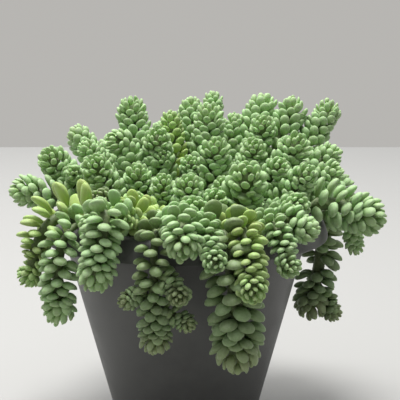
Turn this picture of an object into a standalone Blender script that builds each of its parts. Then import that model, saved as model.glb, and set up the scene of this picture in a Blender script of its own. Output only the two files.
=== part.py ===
"""A small-leaved sedum growing over the lip of a round tapered pot.

Metres, +Z up. The origin is the centre of the pot's foot and -Y faces the viewer. Each leafy stem stands
in a hole of its own in the potting mix and carries its leaves fused to it.
"""
import math

import bmesh
import bpy
import numpy as np
from mathutils import Vector

# The pot, a turned shell whose rim folds over into a lip that flares out as it comes down
POT_HEIGHT = 0.094
LIP_RADIUS = 0.063
LIP_TOP_RADIUS = 0.0590
LIP_HEIGHT = 0.0095
BODY_TOP_RADIUS = 0.0557
FOOT_RADIUS = 0.031
WALL = 0.002
FLOOR = 0.003
RIM_ROUND = 0.0008
LIP_BULGE = 0.0010
POT_SIDES = 32
DRAIN_RADIUS = 0.0028
DRAIN_RING = 0.018
DRAIN_COUNT = 4
DRAIN_SIDES = 6

# The potting mix
GAP = 0.0003
SOIL_LEVEL = 0.0805

# Stems and the holes they stand in
STEM_RADIUS = 0.0016
TIP_RADIUS = 0.0008
HOLE_DEPTH = 0.007
HOLE_SIDES = 4
FOOT_SHARE = 0.62
FOOT_REACH = 0.0425
FOOT_SPACING = 0.0088
FOOT_ROUNDS = 400
FOOT_PUSH = 0.3
COLLAR_RISE = 0.003

# Routes from the potting mix to the tips. A tip past the first two values hangs, and its route crosses
# the pot's lip.
HANGING_INSET = 0.005
HANGING_HEIGHT = 0.012
CROSSING_HEIGHT = 0.0085
CROSSING_OVERHANG = 0.0050
CROSSING_LIFT = 1.3
CROSSING_FALL = 0.55
ARC_STEPS = 40
ROUTE_STEPS = 25
SIDE_STEPS = 9
SIDE_RISE = 0.3
BEND_ROUNDS = 90
BEND_PUSH = 0.25
BEND_LIMIT = 0.0012
BEND_EASE = 0.25
WALL_CLEARANCE = 0.0020
ROUTE_CLEARANCE = 0.0007

# The core of a shoot, which its leaves stand out of
CORE_SHARE = 0.60
HANGING_CORE_SHARE = 0.46
CORE_TAPER = 0.006
CORE_MARGIN = 1.08
DOME_CUT = 0.85
LONGEST_RUN = 0.9
WHORL_PITCH = 0.011
HANGING_WHORL_PITCH = 0.008
UPRIGHT_PITCH = 0.022
HANGING_PITCH = 0.0065
SHORTEST_STRETCH = 0.002

# Leaves, whose sizes are shares of the spread of the shoot that carries them
GOLDEN_ANGLE = math.radians(137.508)
LEAF_WIDTH = 1.0
LEAF_THICKNESS = 0.62
KEEL_SHARE = 0.6
WIDEST_AT = 0.76
LEAF_LEAN = 0.18
OLDER_GROWTH = 0.22
LEAF_SHRINKS = (1.0, 0.9, 0.8)
LEAVES_PER_AREA = 33000
FEWEST_LEAVES = 4
LEAF_CROWDING = 1.1
FIRST_LEAF = 0.4
LEAF_CLEARANCE = 0.00025
LEAF_WALL_CLEARANCE = 0.0006
NEIGHBOUR_REACH = 0.019
PARTING_ROUNDS = 18

# Colours, linear
POT_GRAY = (0.105, 0.108, 0.102, 1)
SOIL_BROWN = (0.035, 0.024, 0.016, 1)
GLAUCOUS = (0.19, 0.33, 0.14, 1)
YELLOW_GREEN = (0.24, 0.38, 0.07, 1)
SHADE_GREEN = (0.08, 0.16, 0.07, 1)
POT_ROUGHNESS = 0.55
SOIL_ROUGHNESS = 0.95
LEAF_ROUGHNESS = 0.5

# Each shoot: node, tip x y z, azimuth and elevation that its head faces in degrees, spread of its leaves
# from the stem, length of its leafy run, and colour. Azimuth 0 is +X, 90 is away and -90 faces the viewer.
SHOOTS = (
    ("stem_top_01", -0.026, 0.039, 0.142, -90, 80, 0.0075, 0.025, GLAUCOUS),
    ("stem_top_02", -0.035, 0.018, 0.127, 195, 15, 0.0068, 0.020, GLAUCOUS),
    ("stem_top_03", -0.013, 0.010, 0.130, -80, 40, 0.0068, 0.020, GLAUCOUS),
    ("stem_top_04", 0.002, 0.047, 0.141, 110, 75, 0.0066, 0.022, GLAUCOUS),
    ("stem_top_05", 0.013, 0.064, 0.142, 90, 70, 0.0049, 0.014, GLAUCOUS),
    ("stem_top_06", 0.011, 0.029, 0.140, -90, 80, 0.0074, 0.036, GLAUCOUS),
    ("stem_top_07", 0.014, 0.001, 0.128, -85, 60, 0.0071, 0.026, GLAUCOUS),
    ("stem_top_08", 0.038, 0.053, 0.142, 60, 65, 0.0076, 0.025, GLAUCOUS),
    ("stem_top_09", 0.051, 0.044, 0.141, 60, 75, 0.0075, 0.025, GLAUCOUS),
    ("stem_top_10", 0.068, 0.046, 0.140, 50, 80, 0.0066, 0.028, GLAUCOUS),
    ("stem_top_11", 0.036, 0.026, 0.134, -90, 55, 0.0065, 0.018, GLAUCOUS),
    ("stem_top_12", 0.032, 0.014, 0.125, -85, 50, 0.0063, 0.020, GLAUCOUS),
    ("stem_top_13", 0.052, 0.008, 0.128, -60, 50, 0.0076, 0.024, GLAUCOUS),
    ("stem_top_14", -0.007, 0.033, 0.136, 90, 80, 0.0060, 0.022, YELLOW_GREEN),
    ("stem_top_15", -0.022, -0.007, 0.117, -95, 60, 0.0066, 0.020, GLAUCOUS),
    ("stem_top_16", 0.023, 0.043, 0.134, 80, 80, 0.0052, 0.016, GLAUCOUS),
    ("stem_top_17", 0.017, -0.013, 0.112, -100, 55, 0.0052, 0.018, GLAUCOUS),
    ("stem_front_01", 0.028, -0.033, 0.120, -88, 40, 0.0092, 0.028, GLAUCOUS),
    ("stem_front_02", 0.042, -0.013, 0.120, -60, 45, 0.0056, 0.018, GLAUCOUS),
    ("stem_front_03", 0.054, -0.022, 0.118, -60, 45, 0.0064, 0.020, GLAUCOUS),
    ("stem_front_04", 0.048, -0.043, 0.106, -80, 15, 0.0058, 0.020, GLAUCOUS),
    ("stem_front_05", 0.004, -0.049, 0.107, -85, 25, 0.0069, 0.020, GLAUCOUS),
    ("stem_front_06", 0.002, -0.035, 0.116, -90, 50, 0.0067, 0.020, GLAUCOUS),
    ("stem_front_07", -0.010, -0.019, 0.114, -95, 55, 0.0056, 0.019, GLAUCOUS),
    ("stem_front_08", -0.024, -0.054, 0.103, -100, 30, 0.0052, 0.014, YELLOW_GREEN),
    ("stem_front_09", -0.037, -0.031, 0.108, -105, 25, 0.0055, 0.017, SHADE_GREEN),
    ("stem_front_10", -0.037, -0.061, 0.098, -120, -5, 0.0060, 0.024, GLAUCOUS),
    ("stem_front_11", 0.000, -0.078, 0.091, -92, -40, 0.0085, 0.036, GLAUCOUS),
    ("stem_front_12", 0.012, -0.079, 0.087, -95, -5, 0.0054, 0.024, GLAUCOUS),
    ("stem_front_13", 0.044, -0.066, 0.082, -50, -5, 0.0055, 0.024, GLAUCOUS),
    ("stem_front_14", 0.052, -0.050, 0.092, 0, 5, 0.0065, 0.028, GLAUCOUS),
    ("stem_front_15", 0.014, -0.038, 0.109, -70, 30, 0.0058, 0.018, GLAUCOUS),
    ("stem_front_16", -0.022, -0.039, 0.109, -100, 50, 0.0062, 0.019, YELLOW_GREEN),
    ("stem_left_01", -0.040, -0.015, 0.121, -100, 40, 0.0065, 0.019, GLAUCOUS),
    ("stem_left_02", -0.064, 0.008, 0.121, -130, 40, 0.0076, 0.024, GLAUCOUS),
    ("stem_left_03", -0.078, 0.002, 0.105, 184, -4, 0.0075, 0.040, GLAUCOUS),
    ("stem_left_04", -0.054, 0.038, 0.127, 150, 40, 0.0065, 0.024, GLAUCOUS),
    ("stem_left_05", -0.047, 0.020, 0.124, 180, 60, 0.0055, 0.016, GLAUCOUS),
    ("stem_right_01", 0.070, 0.006, 0.114, -20, 30, 0.0067, 0.026, GLAUCOUS),
    ("stem_right_02", 0.086, -0.018, 0.092, -25, -15, 0.0099, 0.033, GLAUCOUS),
    ("stem_right_03", 0.071, 0.029, 0.119, 10, 35, 0.0065, 0.024, GLAUCOUS),
    ("stem_hanging_01", -0.067, -0.043, 0.072, 200, -30, 0.0087, 0.038, YELLOW_GREEN),
    ("stem_hanging_02", -0.035, -0.068, 0.075, -105, -60, 0.0083, 0.034, GLAUCOUS),
    ("stem_hanging_03", -0.052, -0.051, 0.057, -125, -60, 0.0078, 0.032, GLAUCOUS),
    ("stem_hanging_04", 0.059, 0.027, 0.037, -20, -80, 0.0094, 0.042, SHADE_GREEN),
    ("stem_hanging_05", 0.027, -0.083, 0.076, -85, -15, 0.0069, 0.042, YELLOW_GREEN),
    ("stem_hanging_06", 0.021, -0.068, 0.042, -80, -75, 0.0111, 0.048, SHADE_GREEN),
    ("stem_hanging_07", -0.011, -0.065, 0.049, -90, -75, 0.0072, 0.034, SHADE_GREEN),
    ("stem_back_01", 0.026, 0.074, 0.118, 80, 30, 0.0085, 0.026, GLAUCOUS),
    ("stem_back_02", -0.008, 0.076, 0.112, 95, 15, 0.0085, 0.024, GLAUCOUS),
    ("stem_back_03", -0.038, 0.066, 0.119, 120, 35, 0.0085, 0.026, GLAUCOUS),
    ("stem_back_04", 0.054, 0.062, 0.110, 50, 15, 0.0085, 0.026, GLAUCOUS),
    ("stem_back_05", 0.014, 0.078, 0.079, 85, -70, 0.0085, 0.026, SHADE_GREEN),
    ("stem_back_06", -0.034, 0.070, 0.072, 110, -70, 0.0085, 0.028, SHADE_GREEN),
    ("stem_back_07", -0.060, 0.038, 0.100, 150, -10, 0.0085, 0.030, GLAUCOUS),
    ("stem_back_08", 0.078, 0.030, 0.097, 20, -20, 0.0085, 0.030, GLAUCOUS),
    ("stem_back_09", 0.050, 0.060, 0.066, 50, -75, 0.0085, 0.026, SHADE_GREEN),
    ("stem_back_10", -0.012, 0.060, 0.128, 100, 70, 0.0070, 0.020, GLAUCOUS),
)

# Side heads: the shoot that carries one, the share of its route at which it leaves, then as above
SIDE_HEADS = (
    ("stem_top_07", 0.60, -0.001, 0.002, 0.118, -90, 50, 0.0049, 0.010),
    ("stem_top_03", 0.66, -0.009, 0.005, 0.119, -100, 40, 0.0045, 0.008),
    ("stem_front_05", 0.80, -0.013, -0.047, 0.100, 190, 0, 0.0045, 0.009),
    ("stem_left_02", 0.62, -0.049, -0.007, 0.114, -110, 30, 0.0039, 0.008),
    ("stem_right_02", 0.72, 0.076, -0.004, 0.076, 10, -70, 0.0044, 0.011),
    ("stem_hanging_04", 0.84, 0.072, 0.026, 0.038, 0, -30, 0.0052, 0.010),
    ("stem_hanging_07", 0.64, -0.000, -0.076, 0.073, -90, -20, 0.0051, 0.012),
    ("stem_hanging_07", 0.72, -0.026, -0.066, 0.070, 200, -15, 0.0043, 0.014),
    ("stem_hanging_07", 0.80, 0.004, -0.068, 0.060, -40, -40, 0.0043, 0.012),
)


def clear_scene():
    for old in list(bpy.data.objects):
        bpy.data.objects.remove(old, do_unlink=True)


def material(name, colour, roughness):
    made = bpy.data.materials.new(name)
    made.use_nodes = True
    shader = made.node_tree.nodes["Principled BSDF"]
    shader.inputs["Base Color"].default_value = colour
    shader.inputs["Roughness"].default_value = roughness
    shader.inputs["Metallic"].default_value = 0.0
    return made


def link(name, mesh, collection):
    made = bpy.data.objects.new(name, mesh)
    collection.objects.link(made)
    return made


def paint(obj, colour, roughness):
    obj.data.materials.clear()
    obj.data.materials.append(material(obj.name, colour, roughness))


def turned(name, profile, sides, collection):
    """A solid turned about Z from a profile at +X that ends on the axis at both ends."""
    mesh = bpy.data.meshes.new(name)
    edges = [(i, i + 1) for i in range(len(profile) - 1)]
    mesh.from_pydata([(radius, 0, height) for radius, height in profile], edges, [])
    made = link(name, mesh, collection)
    screw = made.modifiers.new("turn", "SCREW")
    screw.axis = "Z"
    screw.steps = sides
    screw.render_steps = sides
    screw.use_merge_vertices = True
    screw.merge_threshold = 0.00005
    screw.use_smooth_shade = False
    return made


def cutter_prism(radius, height, sides, centre, collection):
    mesh = bpy.data.meshes.new("cutter")
    bm = bmesh.new()
    bmesh.ops.create_cone(bm, cap_ends=True, segments=sides, radius1=radius, radius2=radius, depth=height)
    bmesh.ops.translate(bm, verts=bm.verts, vec=centre)
    bm.to_mesh(mesh)
    bm.free()
    link("cutter", mesh, collection)


def bake(obj):
    """Replace an object's mesh by its evaluated one and drop its modifiers."""
    graph = bpy.context.evaluated_depsgraph_get()
    mesh = bpy.data.meshes.new_from_object(obj.evaluated_get(graph))
    obj.modifiers.clear()
    obj.data = mesh


def empty_collection(collection):
    for used in list(collection.objects):
        bpy.data.objects.remove(used, do_unlink=True)
    bpy.data.collections.remove(collection)


def combine(obj, collection, operation):
    """Join or cut an object with everything in a collection, then remove the collection."""
    boolean = obj.modifiers.new("combine", "BOOLEAN")
    boolean.operation = operation
    boolean.solver = "EXACT"
    boolean.operand_type = "COLLECTION"
    boolean.collection = collection
    bake(obj)
    empty_collection(collection)


def body_radius(height):
    """The outer radius of the pot's body, inside its lip."""
    return FOOT_RADIUS + (BODY_TOP_RADIUS - FOOT_RADIUS) * height / POT_HEIGHT


def lip_bulge():
    """The lip's outer radius halfway down it."""
    return (LIP_RADIUS + LIP_TOP_RADIUS) / 2 + LIP_BULGE


def pot_profile():
    lip_end = POT_HEIGHT - LIP_HEIGHT
    under = POT_HEIGHT - WALL
    bulge = lip_bulge()
    return [
        (0, FLOOR),
        (body_radius(FLOOR) - WALL, FLOOR),
        (body_radius(under) - WALL, under),
        (body_radius(under) - WALL + RIM_ROUND, POT_HEIGHT),
        (LIP_TOP_RADIUS - RIM_ROUND, POT_HEIGHT),
        (LIP_TOP_RADIUS, POT_HEIGHT - RIM_ROUND),
        (bulge, POT_HEIGHT - LIP_HEIGHT / 2),
        (LIP_RADIUS, lip_end),
        (LIP_RADIUS - WALL, lip_end),
        (bulge - WALL, POT_HEIGHT - LIP_HEIGHT / 2),
        (LIP_TOP_RADIUS - WALL / 2, under),
        (body_radius(under) + WALL / 4, under),
        (FOOT_RADIUS, 0),
        (0, 0),
    ]


def pot(collection):
    made = turned("pot", pot_profile(), POT_SIDES, collection)
    drains = bpy.data.collections.new("drains")
    for index in range(DRAIN_COUNT):
        angle = 2 * math.pi * index / DRAIN_COUNT
        centre = Vector((DRAIN_RING * math.cos(angle), DRAIN_RING * math.sin(angle), FLOOR / 2))
        cutter_prism(DRAIN_RADIUS, 3 * FLOOR, DRAIN_SIDES, centre, drains)
    combine(made, drains, "DIFFERENCE")
    paint(made, POT_GRAY, POT_ROUGHNESS)


def soil(collection, feet):
    bottom = FLOOR + GAP
    profile = [
        (0, SOIL_LEVEL),
        (body_radius(SOIL_LEVEL) - WALL - GAP, SOIL_LEVEL),
        (body_radius(bottom) - WALL - GAP, bottom),
        (0, bottom),
    ]
    made = turned("potting_mix", profile, POT_SIDES, collection)
    holes = bpy.data.collections.new("holes")
    radius = (STEM_RADIUS + GAP) / math.cos(math.pi / HOLE_SIDES)
    for foot in feet:
        height = 2 * HOLE_DEPTH
        centre = Vector((foot[0], foot[1], SOIL_LEVEL - HOLE_DEPTH + height / 2))
        cutter_prism(radius, height, HOLE_SIDES, centre, holes)
    combine(made, holes, "DIFFERENCE")
    paint(made, SOIL_BROWN, SOIL_ROUGHNESS)


def unit(vector):
    return vector / np.linalg.norm(vector)


def facing(azimuth, elevation):
    turn = math.radians(azimuth)
    rise = math.radians(elevation)
    flat = math.cos(rise)
    return np.array([flat * math.cos(turn), flat * math.sin(turn), math.sin(rise)])


def feet_of(tips):
    """Where the stems stand: drawn in from their tips, then spread evenly over the potting mix."""
    feet = tips[:, :2] * FOOT_SHARE
    for _ in range(FOOT_ROUNDS):
        reach = np.linalg.norm(feet, axis=1, keepdims=True)
        feet = feet * np.minimum(1, FOOT_REACH / reach)
        apart = feet[:, None] - feet[None]
        distance = np.linalg.norm(apart, axis=2) + np.eye(len(feet))
        short = np.clip(FOOT_SPACING - distance, 0, None) * (1 - np.eye(len(feet)))
        feet = feet + (apart / distance[..., None] * short[..., None]).sum(1) * FOOT_PUSH
    reach = np.linalg.norm(feet, axis=1, keepdims=True)
    return feet * np.minimum(1, FOOT_REACH / reach)


def arc(start, leave, end, arrive, steps):
    """A smooth cubic from start to end with the given end tangents."""
    t = np.linspace(0, 1, steps)[:, None]
    return ((2 * t ** 3 - 3 * t ** 2 + 1) * start + (t ** 3 - 2 * t ** 2 + t) * leave
            + (3 * t ** 2 - 2 * t ** 3) * end + (t ** 3 - t ** 2) * arrive)


def even(points, steps):
    """The same line with its points an equal distance apart."""
    run = np.concatenate([[0], np.cumsum(np.linalg.norm(np.diff(points, axis=0), axis=1))])
    at = np.linspace(0, run[-1], steps)
    return np.stack([np.interp(at, run, points[:, axis]) for axis in range(3)], axis=1)


def hangs(tip):
    """Whether a shoot's tip lies out over the lip and low enough to need a route across it."""
    return math.hypot(tip[0], tip[1]) > LIP_RADIUS - HANGING_INSET and tip[2] < POT_HEIGHT + HANGING_HEIGHT


def first_route(foot, tip, face):
    """From the potting mix up and out to the tip, over the lip where the tip hangs outside it."""
    start = np.array([foot[0], foot[1], SOIL_LEVEL + COLLAR_RISE])
    out = np.array([tip[0], tip[1], 0]) / math.hypot(tip[0], tip[1])
    if not hangs(tip):
        length = np.linalg.norm(tip - start)
        return even(arc(start, np.array([0, 0, length]), tip, face * length, ARC_STEPS), ROUTE_STEPS)
    over = out * (LIP_RADIUS + CROSSING_OVERHANG) + np.array([0, 0, POT_HEIGHT + CROSSING_HEIGHT])
    rise = np.linalg.norm(over - start)
    fall = np.linalg.norm(tip - over)
    ahead = out - np.array([0, 0, CROSSING_FALL])
    first = arc(start, np.array([0, 0, CROSSING_LIFT * rise]), over, ahead * rise, ARC_STEPS)
    second = arc(over, ahead * fall, tip, face * fall, ARC_STEPS)
    return even(np.concatenate([first, second[1:]]), ROUTE_STEPS)


def wall_line():
    """The middle of the pot's wall in section, from the foot to the rim and down the lip."""
    half = WALL / 2
    return np.array([
        (FOOT_RADIUS - half, half),
        (BODY_TOP_RADIUS - half, POT_HEIGHT - half),
        (LIP_TOP_RADIUS - half, POT_HEIGHT - half),
        (lip_bulge() - half, POT_HEIGHT - LIP_HEIGHT / 2),
        (LIP_RADIUS - half, POT_HEIGHT - LIP_HEIGHT),
    ])


def off_wall(points):
    """How far points lie from the middle of the pot's wall, and the way that leads off it."""
    section = np.stack([np.linalg.norm(points[:, :2], axis=1), points[:, 2]], axis=1)
    line = wall_line()
    best = np.full(len(points), np.inf)
    away = np.zeros((len(points), 2))
    for start, end in zip(line[:-1], line[1:]):
        span = end - start
        share = np.clip((section - start) @ span / (span @ span), 0, 1)
        offset = section - (start + share[:, None] * span)
        distance = np.linalg.norm(offset, axis=1)
        nearer = distance < best
        best = np.where(nearer, distance, best)
        away = np.where(nearer[:, None], offset / np.maximum(distance, 1e-9)[:, None], away)
    out = points[:, :2] / np.maximum(section[:, :1], 1e-9)
    return best, np.concatenate([out * away[:, :1], away[:, 1:]], axis=1)


def bend_clear(routes, spreads, runs):
    """Bend the stems round one another, round the heads and off the pot; feet and tips stay put."""
    count, steps, _ = routes.shape
    bulk = []
    for route, spread, run in zip(routes, spreads, runs):
        downs = (1 - np.linspace(0, 1, steps)) * route_length(route)
        bulk.append(core_radii(downs, spread, run, core_share(route)))
    bulk = np.concatenate(bulk)
    free = np.ones((count, steps))
    free[:, :2] = 0
    free[:, -3:] = 0
    free = free.reshape(-1)
    owner = np.repeat(np.arange(count), steps)
    foreign = owner[:, None] != owner[None]
    room = bulk[:, None] + bulk[None] + 2 * ROUTE_CLEARANCE
    for _ in range(BEND_ROUNDS):
        flat = routes.reshape(-1, 3)
        apart = flat[:, None] - flat[None]
        distance = np.sqrt((apart ** 2).sum(2)) + 1e-9
        short = np.clip(room - distance, 0, None) * foreign
        push = (apart * (short / distance)[..., None]).sum(1) * BEND_PUSH
        push = np.clip(push, -BEND_LIMIT, BEND_LIMIT)
        gap, away = off_wall(flat)
        push = push + away * np.clip(WALL / 2 + bulk + WALL_CLEARANCE - gap, 0, None)[:, None]
        flat = flat + push * free[:, None]
        routes = flat.reshape(count, steps, 3)
        mean = (routes[:, :-2] + routes[:, 2:]) / 2
        routes[:, 1:-1] += (mean - routes[:, 1:-1]) * BEND_EASE * free.reshape(count, steps)[:, 1:-1, None]
    return routes


def side_route(route, share, tip, face):
    """From a point on a carrying shoot out to the tip of its side head."""
    start = route[round(share * (len(route) - 1))]
    length = np.linalg.norm(tip - start)
    ahead = unit(unit(tip - start) + np.array([0, 0, SIDE_RISE]))
    return even(arc(start, ahead * length, tip, face * length, ARC_STEPS), SIDE_STEPS)


def hull_clear(points, hulls, gap):
    """Whether a plane parts the hull of points from each of the other hulls by more than gap."""
    between = hulls.mean(1) - points.mean(0)
    best = np.full(len(hulls), -1.0)
    for _ in range(PARTING_ROUNDS):
        normal = between / np.maximum(np.linalg.norm(between, axis=1), 1e-12)[:, None]
        near = points @ normal.T
        far = np.einsum("kvi,ki->kv", hulls, normal)
        best = np.maximum(best, far.min(1) - near.max(0))
        support = hulls[np.arange(len(hulls)), far.argmin(1)] - points[near.argmax(0)]
        step = support - between
        share = np.clip(-(between * step).sum(1) / np.maximum((step ** 2).sum(1), 1e-18), 0, 1)
        between = between + share[:, None] * step
    return best > gap


def core_hulls(stations, radii):
    """Each stretch of a stem as an eight-sided prism that holds it."""
    hulls = []
    for start, end, first, last in zip(stations[:-1], stations[1:], radii[:-1], radii[1:]):
        along = unit(end - start)
        side = unit(np.cross(along, [0.31, 0.95, 0.07]))
        other = np.cross(along, side)
        ring = [math.cos(a) * side + math.sin(a) * other for a in np.arange(8) * math.pi / 4]
        near = [start + first * CORE_MARGIN * way for way in ring]
        far = [end + last * CORE_MARGIN * way for way in ring]
        hulls.append(near + far)
    return np.array(hulls)


def leaf_points(base, along, side, length, width, thickness):
    """The five corners of a leaf: its base, its tip, its two edges and its keel."""
    up = np.cross(side, along)
    middle = base + along * length * WIDEST_AT
    return np.array([
        base,
        base + along * length,
        middle + side * width / 2 + up * thickness * (1 - KEEL_SHARE),
        middle - side * width / 2 + up * thickness * (1 - KEEL_SHARE),
        middle - up * thickness * KEEL_SHARE,
    ])


def leaf_frames(route, spread, run, count):
    """Leaves wound round the shoot at the golden angle, in a dome at its tip and longer down its run."""
    run = min(run, route_length(route) * LONGEST_RUN)
    side = unit(np.cross(route[-1] - route[-2], [0.37, 0.21, 0.90]))
    frames = []
    for index in range(count):
        down = run * ((index + FIRST_LEAF) / count) ** LEAF_CROWDING
        root = max(down, spread)
        point, ahead, behind = along_route(route, [root, root - TIP_RADIUS, root + TIP_RADIUS])
        axis = unit(ahead - behind)
        side = unit(side - axis * (side @ axis))
        turn = index * GOLDEN_ANGLE
        radial = math.cos(turn) * side + math.sin(turn) * np.cross(axis, side)
        forward = max(1 - down / spread, LEAF_LEAN)
        along = forward * axis + math.sqrt(1 - forward ** 2) * radial
        length = spread * (1 + OLDER_GROWTH * down / run)
        frames.append((point, along, unit(np.cross(axis, along)), length))
    return frames


def leaf_count(spread, run):
    return FEWEST_LEAVES + round(LEAVES_PER_AREA * spread * run)


def leaf_samples(points):
    """Points along a leaf's middle and its edges, close enough together to feel the pot's wall."""
    base, tip = points[:2]
    samples = [base + (tip - base) * share for share in np.linspace(0, 1, 6)]
    for corner in points[2:]:
        samples += [base + (corner - base) * share for share in np.linspace(0, 1, 5)]
        samples += [tip + (corner - tip) * share for share in np.linspace(0, 1, 5)]
    return np.array(samples)


def fits(points, owner, placed):
    """Whether a leaf is clear of the pot, the potting mix and every other shoot."""
    over_soil = np.linalg.norm(points[:, :2], axis=1) < LIP_RADIUS
    if points[0, 2] > SOIL_LEVEL and (points[over_soil, 2] < SOIL_LEVEL + 2 * LEAF_CLEARANCE).any():
        return False
    if off_wall(leaf_samples(points))[0].min() < WALL / 2 + LEAF_WALL_CLEARANCE:
        return False
    hulls, owners, centres = placed
    near = (owners != owner) & (np.linalg.norm(centres - points.mean(0), axis=1) < NEIGHBOUR_REACH)
    return not near.any() or bool(hull_clear(points, hulls[near], LEAF_CLEARANCE).all())


def place_leaves(lines, cores):
    """Give each line its leaves in turn, from the tips down, and leave out what would cross."""
    hulls = np.concatenate([hull for _, hull in cores])
    owners = np.concatenate([[owner] * len(hull) for owner, hull in cores])
    centres = hulls.mean(1)
    frames = [leaf_frames(route, spread, run, leaf_count(spread, run)) for _, route, spread, run in lines]
    leaves = {owner: [] for owner, _, _, _ in lines}
    for rank in range(max(len(row) for row in frames)):
        for (owner, _, _, _), row in zip(lines, frames):
            if rank >= len(row):
                continue
            base, along, side, length = row[rank]
            for shrink in LEAF_SHRINKS:
                size = length * shrink
                corners = leaf_points(base, along, side, size, length * LEAF_WIDTH * shrink,
                                      length * LEAF_THICKNESS * shrink)
                if fits(corners, owner, (hulls, owners, centres)):
                    spare = hulls.shape[1] - len(corners)
                    padded = np.concatenate([corners, np.repeat(corners[:1], spare, axis=0)])
                    hulls = np.concatenate([hulls, padded[None]])
                    owners = np.append(owners, owner)
                    centres = np.concatenate([centres, corners.mean(0)[None]])
                    leaves[owner].append(corners)
                    break
    return leaves


def leaf_mesh(corners):
    """A three-sided ball drawn out between a leaf's base and tip, flat above and keeled below."""
    mesh = bpy.data.meshes.new("leaf")
    bm = bmesh.new()
    bmesh.ops.create_uvsphere(bm, u_segments=3, v_segments=2, radius=1)
    around = sorted((v for v in bm.verts if abs(v.co.z) < 0.5), key=lambda v: math.atan2(v.co.y, v.co.x))
    ends = sorted((v for v in bm.verts if abs(v.co.z) > 0.5), key=lambda v: v.co.z)
    for vert, corner in zip(ends + around, corners):
        vert.co = corner
    bmesh.ops.recalc_face_normals(bm, faces=bm.faces)
    bm.to_mesh(mesh)
    bm.free()
    return mesh


def tube_mesh(name, stations, radii):
    """A four-sided tapering tube along the stations, as a mesh object with welded caps."""
    curve = bpy.data.curves.new(name, "CURVE")
    curve.dimensions = "3D"
    curve.bevel_depth = 1.0
    curve.bevel_resolution = 0
    curve.use_fill_caps = True
    spline = curve.splines.new("POLY")
    spline.points.add(len(stations) - 1)
    for point, station, radius in zip(spline.points, stations, radii):
        point.co = (*station, 1)
        point.radius = radius
    holder = bpy.data.objects.new(name, curve)
    bpy.context.scene.collection.objects.link(holder)
    graph = bpy.context.evaluated_depsgraph_get()
    mesh = bpy.data.meshes.new_from_object(holder.evaluated_get(graph))
    bpy.data.objects.remove(holder, do_unlink=True)
    bm = bmesh.new()
    bm.from_mesh(mesh)
    bmesh.ops.remove_doubles(bm, verts=bm.verts, dist=0.000001)
    bmesh.ops.recalc_face_normals(bm, faces=bm.faces)
    bm.to_mesh(mesh)
    bm.free()
    return mesh


def keep_body(obj):
    """Keep the largest closed shell, so that loose scraps and sealed hollows go."""
    bm = bmesh.new()
    bm.from_mesh(obj.data)
    bmesh.ops.remove_doubles(bm, verts=bm.verts, dist=0.0000005)
    bmesh.ops.dissolve_degenerate(bm, edges=bm.edges, dist=0.0000005)
    bmesh.ops.triangulate(bm, faces=bm.faces)
    unseen = set(bm.faces)
    shells = []
    while unseen:
        shell = [unseen.pop()]
        for face in shell:
            for edge in face.edges:
                for other in edge.link_faces:
                    if other in unseen:
                        unseen.discard(other)
                        shell.append(other)
        shells.append(shell)
    shells.sort(key=len)
    for shell in shells[:-1]:
        bmesh.ops.delete(bm, geom=shell, context="FACES")
    bm.to_mesh(obj.data)
    bm.free()


def along_route(route, downs):
    """The points at the given distances down from a route's tip."""
    steps = np.linalg.norm(np.diff(route, axis=0), axis=1)
    from_foot = np.concatenate([[0], np.cumsum(steps)])
    at = from_foot[-1] - np.asarray(downs)
    return np.stack([np.interp(at, from_foot, route[:, axis]) for axis in range(3)], axis=1)


def route_length(route):
    return np.linalg.norm(np.diff(route, axis=0), axis=1).sum()


def core_stations(route, spread, run, share):
    """The places that a shoot's core passes through, from its collar up to the middle of its head."""
    total = route_length(route)
    run = min(run, total * LONGEST_RUN)
    low = hangs(route[-1])
    whorls = max(1, round((run - spread) / (HANGING_WHORL_PITCH if low else WHORL_PITCH)))
    below = run + CORE_TAPER
    bare = max(1, round((total - below) / (HANGING_PITCH if low else UPRIGHT_PITCH)))
    downs = [(1 - DOME_CUT * share) * spread]
    downs += list(np.linspace(spread, run, whorls + 1))
    if below < total - SHORTEST_STRETCH:
        downs += list(np.linspace(below, total, bare + 1))
    else:
        downs += [total]
    downs = np.array(downs[::-1])
    return along_route(route, downs), core_radii(downs, spread, run, share)


def core_radii(downs, spread, run, share):
    """A core is a dome at its tip, full along the leafy run and a bare stem below it."""
    full = max(share * spread, STEM_RADIUS)
    inside = np.clip((spread - np.asarray(downs)) / full, 0, 1)
    dome = np.maximum(full * np.sqrt(1 - inside ** 2), TIP_RADIUS)
    bare = np.clip((downs - run) / CORE_TAPER, 0, 1)
    return dome + (STEM_RADIUS - dome) * bare


def core_share(route):
    return HANGING_CORE_SHARE if hangs(route[-1]) else CORE_SHARE


def shoot_routes(feet):
    """Each shoot's route to its tip, bent clear of the others and of the pot."""
    spreads = [row[6] for row in SHOOTS]
    runs = [row[7] for row in SHOOTS]
    routes = []
    for row, foot in zip(SHOOTS, feet):
        routes.append(first_route(foot, np.array(row[1:4]), facing(row[4], row[5])))
    return bend_clear(np.array(routes), spreads, runs)


def shoot_lines(feet):
    """The leafy lines of all shoots and side heads, each with the number of the shoot that owns it."""
    routes = shoot_routes(feet)
    names = [row[0] for row in SHOOTS]
    lines = [(index, routes[index], row[6], row[7]) for index, row in enumerate(SHOOTS)]
    for row in SIDE_HEADS:
        owner = names.index(row[0])
        route = side_route(routes[owner], row[1], np.array(row[2:5]), facing(row[5], row[6]))
        lines.append((owner, route, row[7], row[8]))
    return lines


def shoot_tubes(lines, feet):
    """The core that follows each line. A shoot's own core goes on down into its hole."""
    tubes = []
    for index, (owner, route, spread, run) in enumerate(lines):
        if index >= len(SHOOTS):
            tubes.append((owner, *core_stations(route, spread, run, CORE_SHARE)))
            continue
        stations, radii = core_stations(route, spread, run, core_share(route))
        bottom = np.array([[feet[index][0], feet[index][1], SOIL_LEVEL - HOLE_DEPTH + GAP]])
        tubes.append((owner, np.concatenate([bottom, stations]), np.concatenate([[STEM_RADIUS], radii])))
    return tubes


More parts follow.
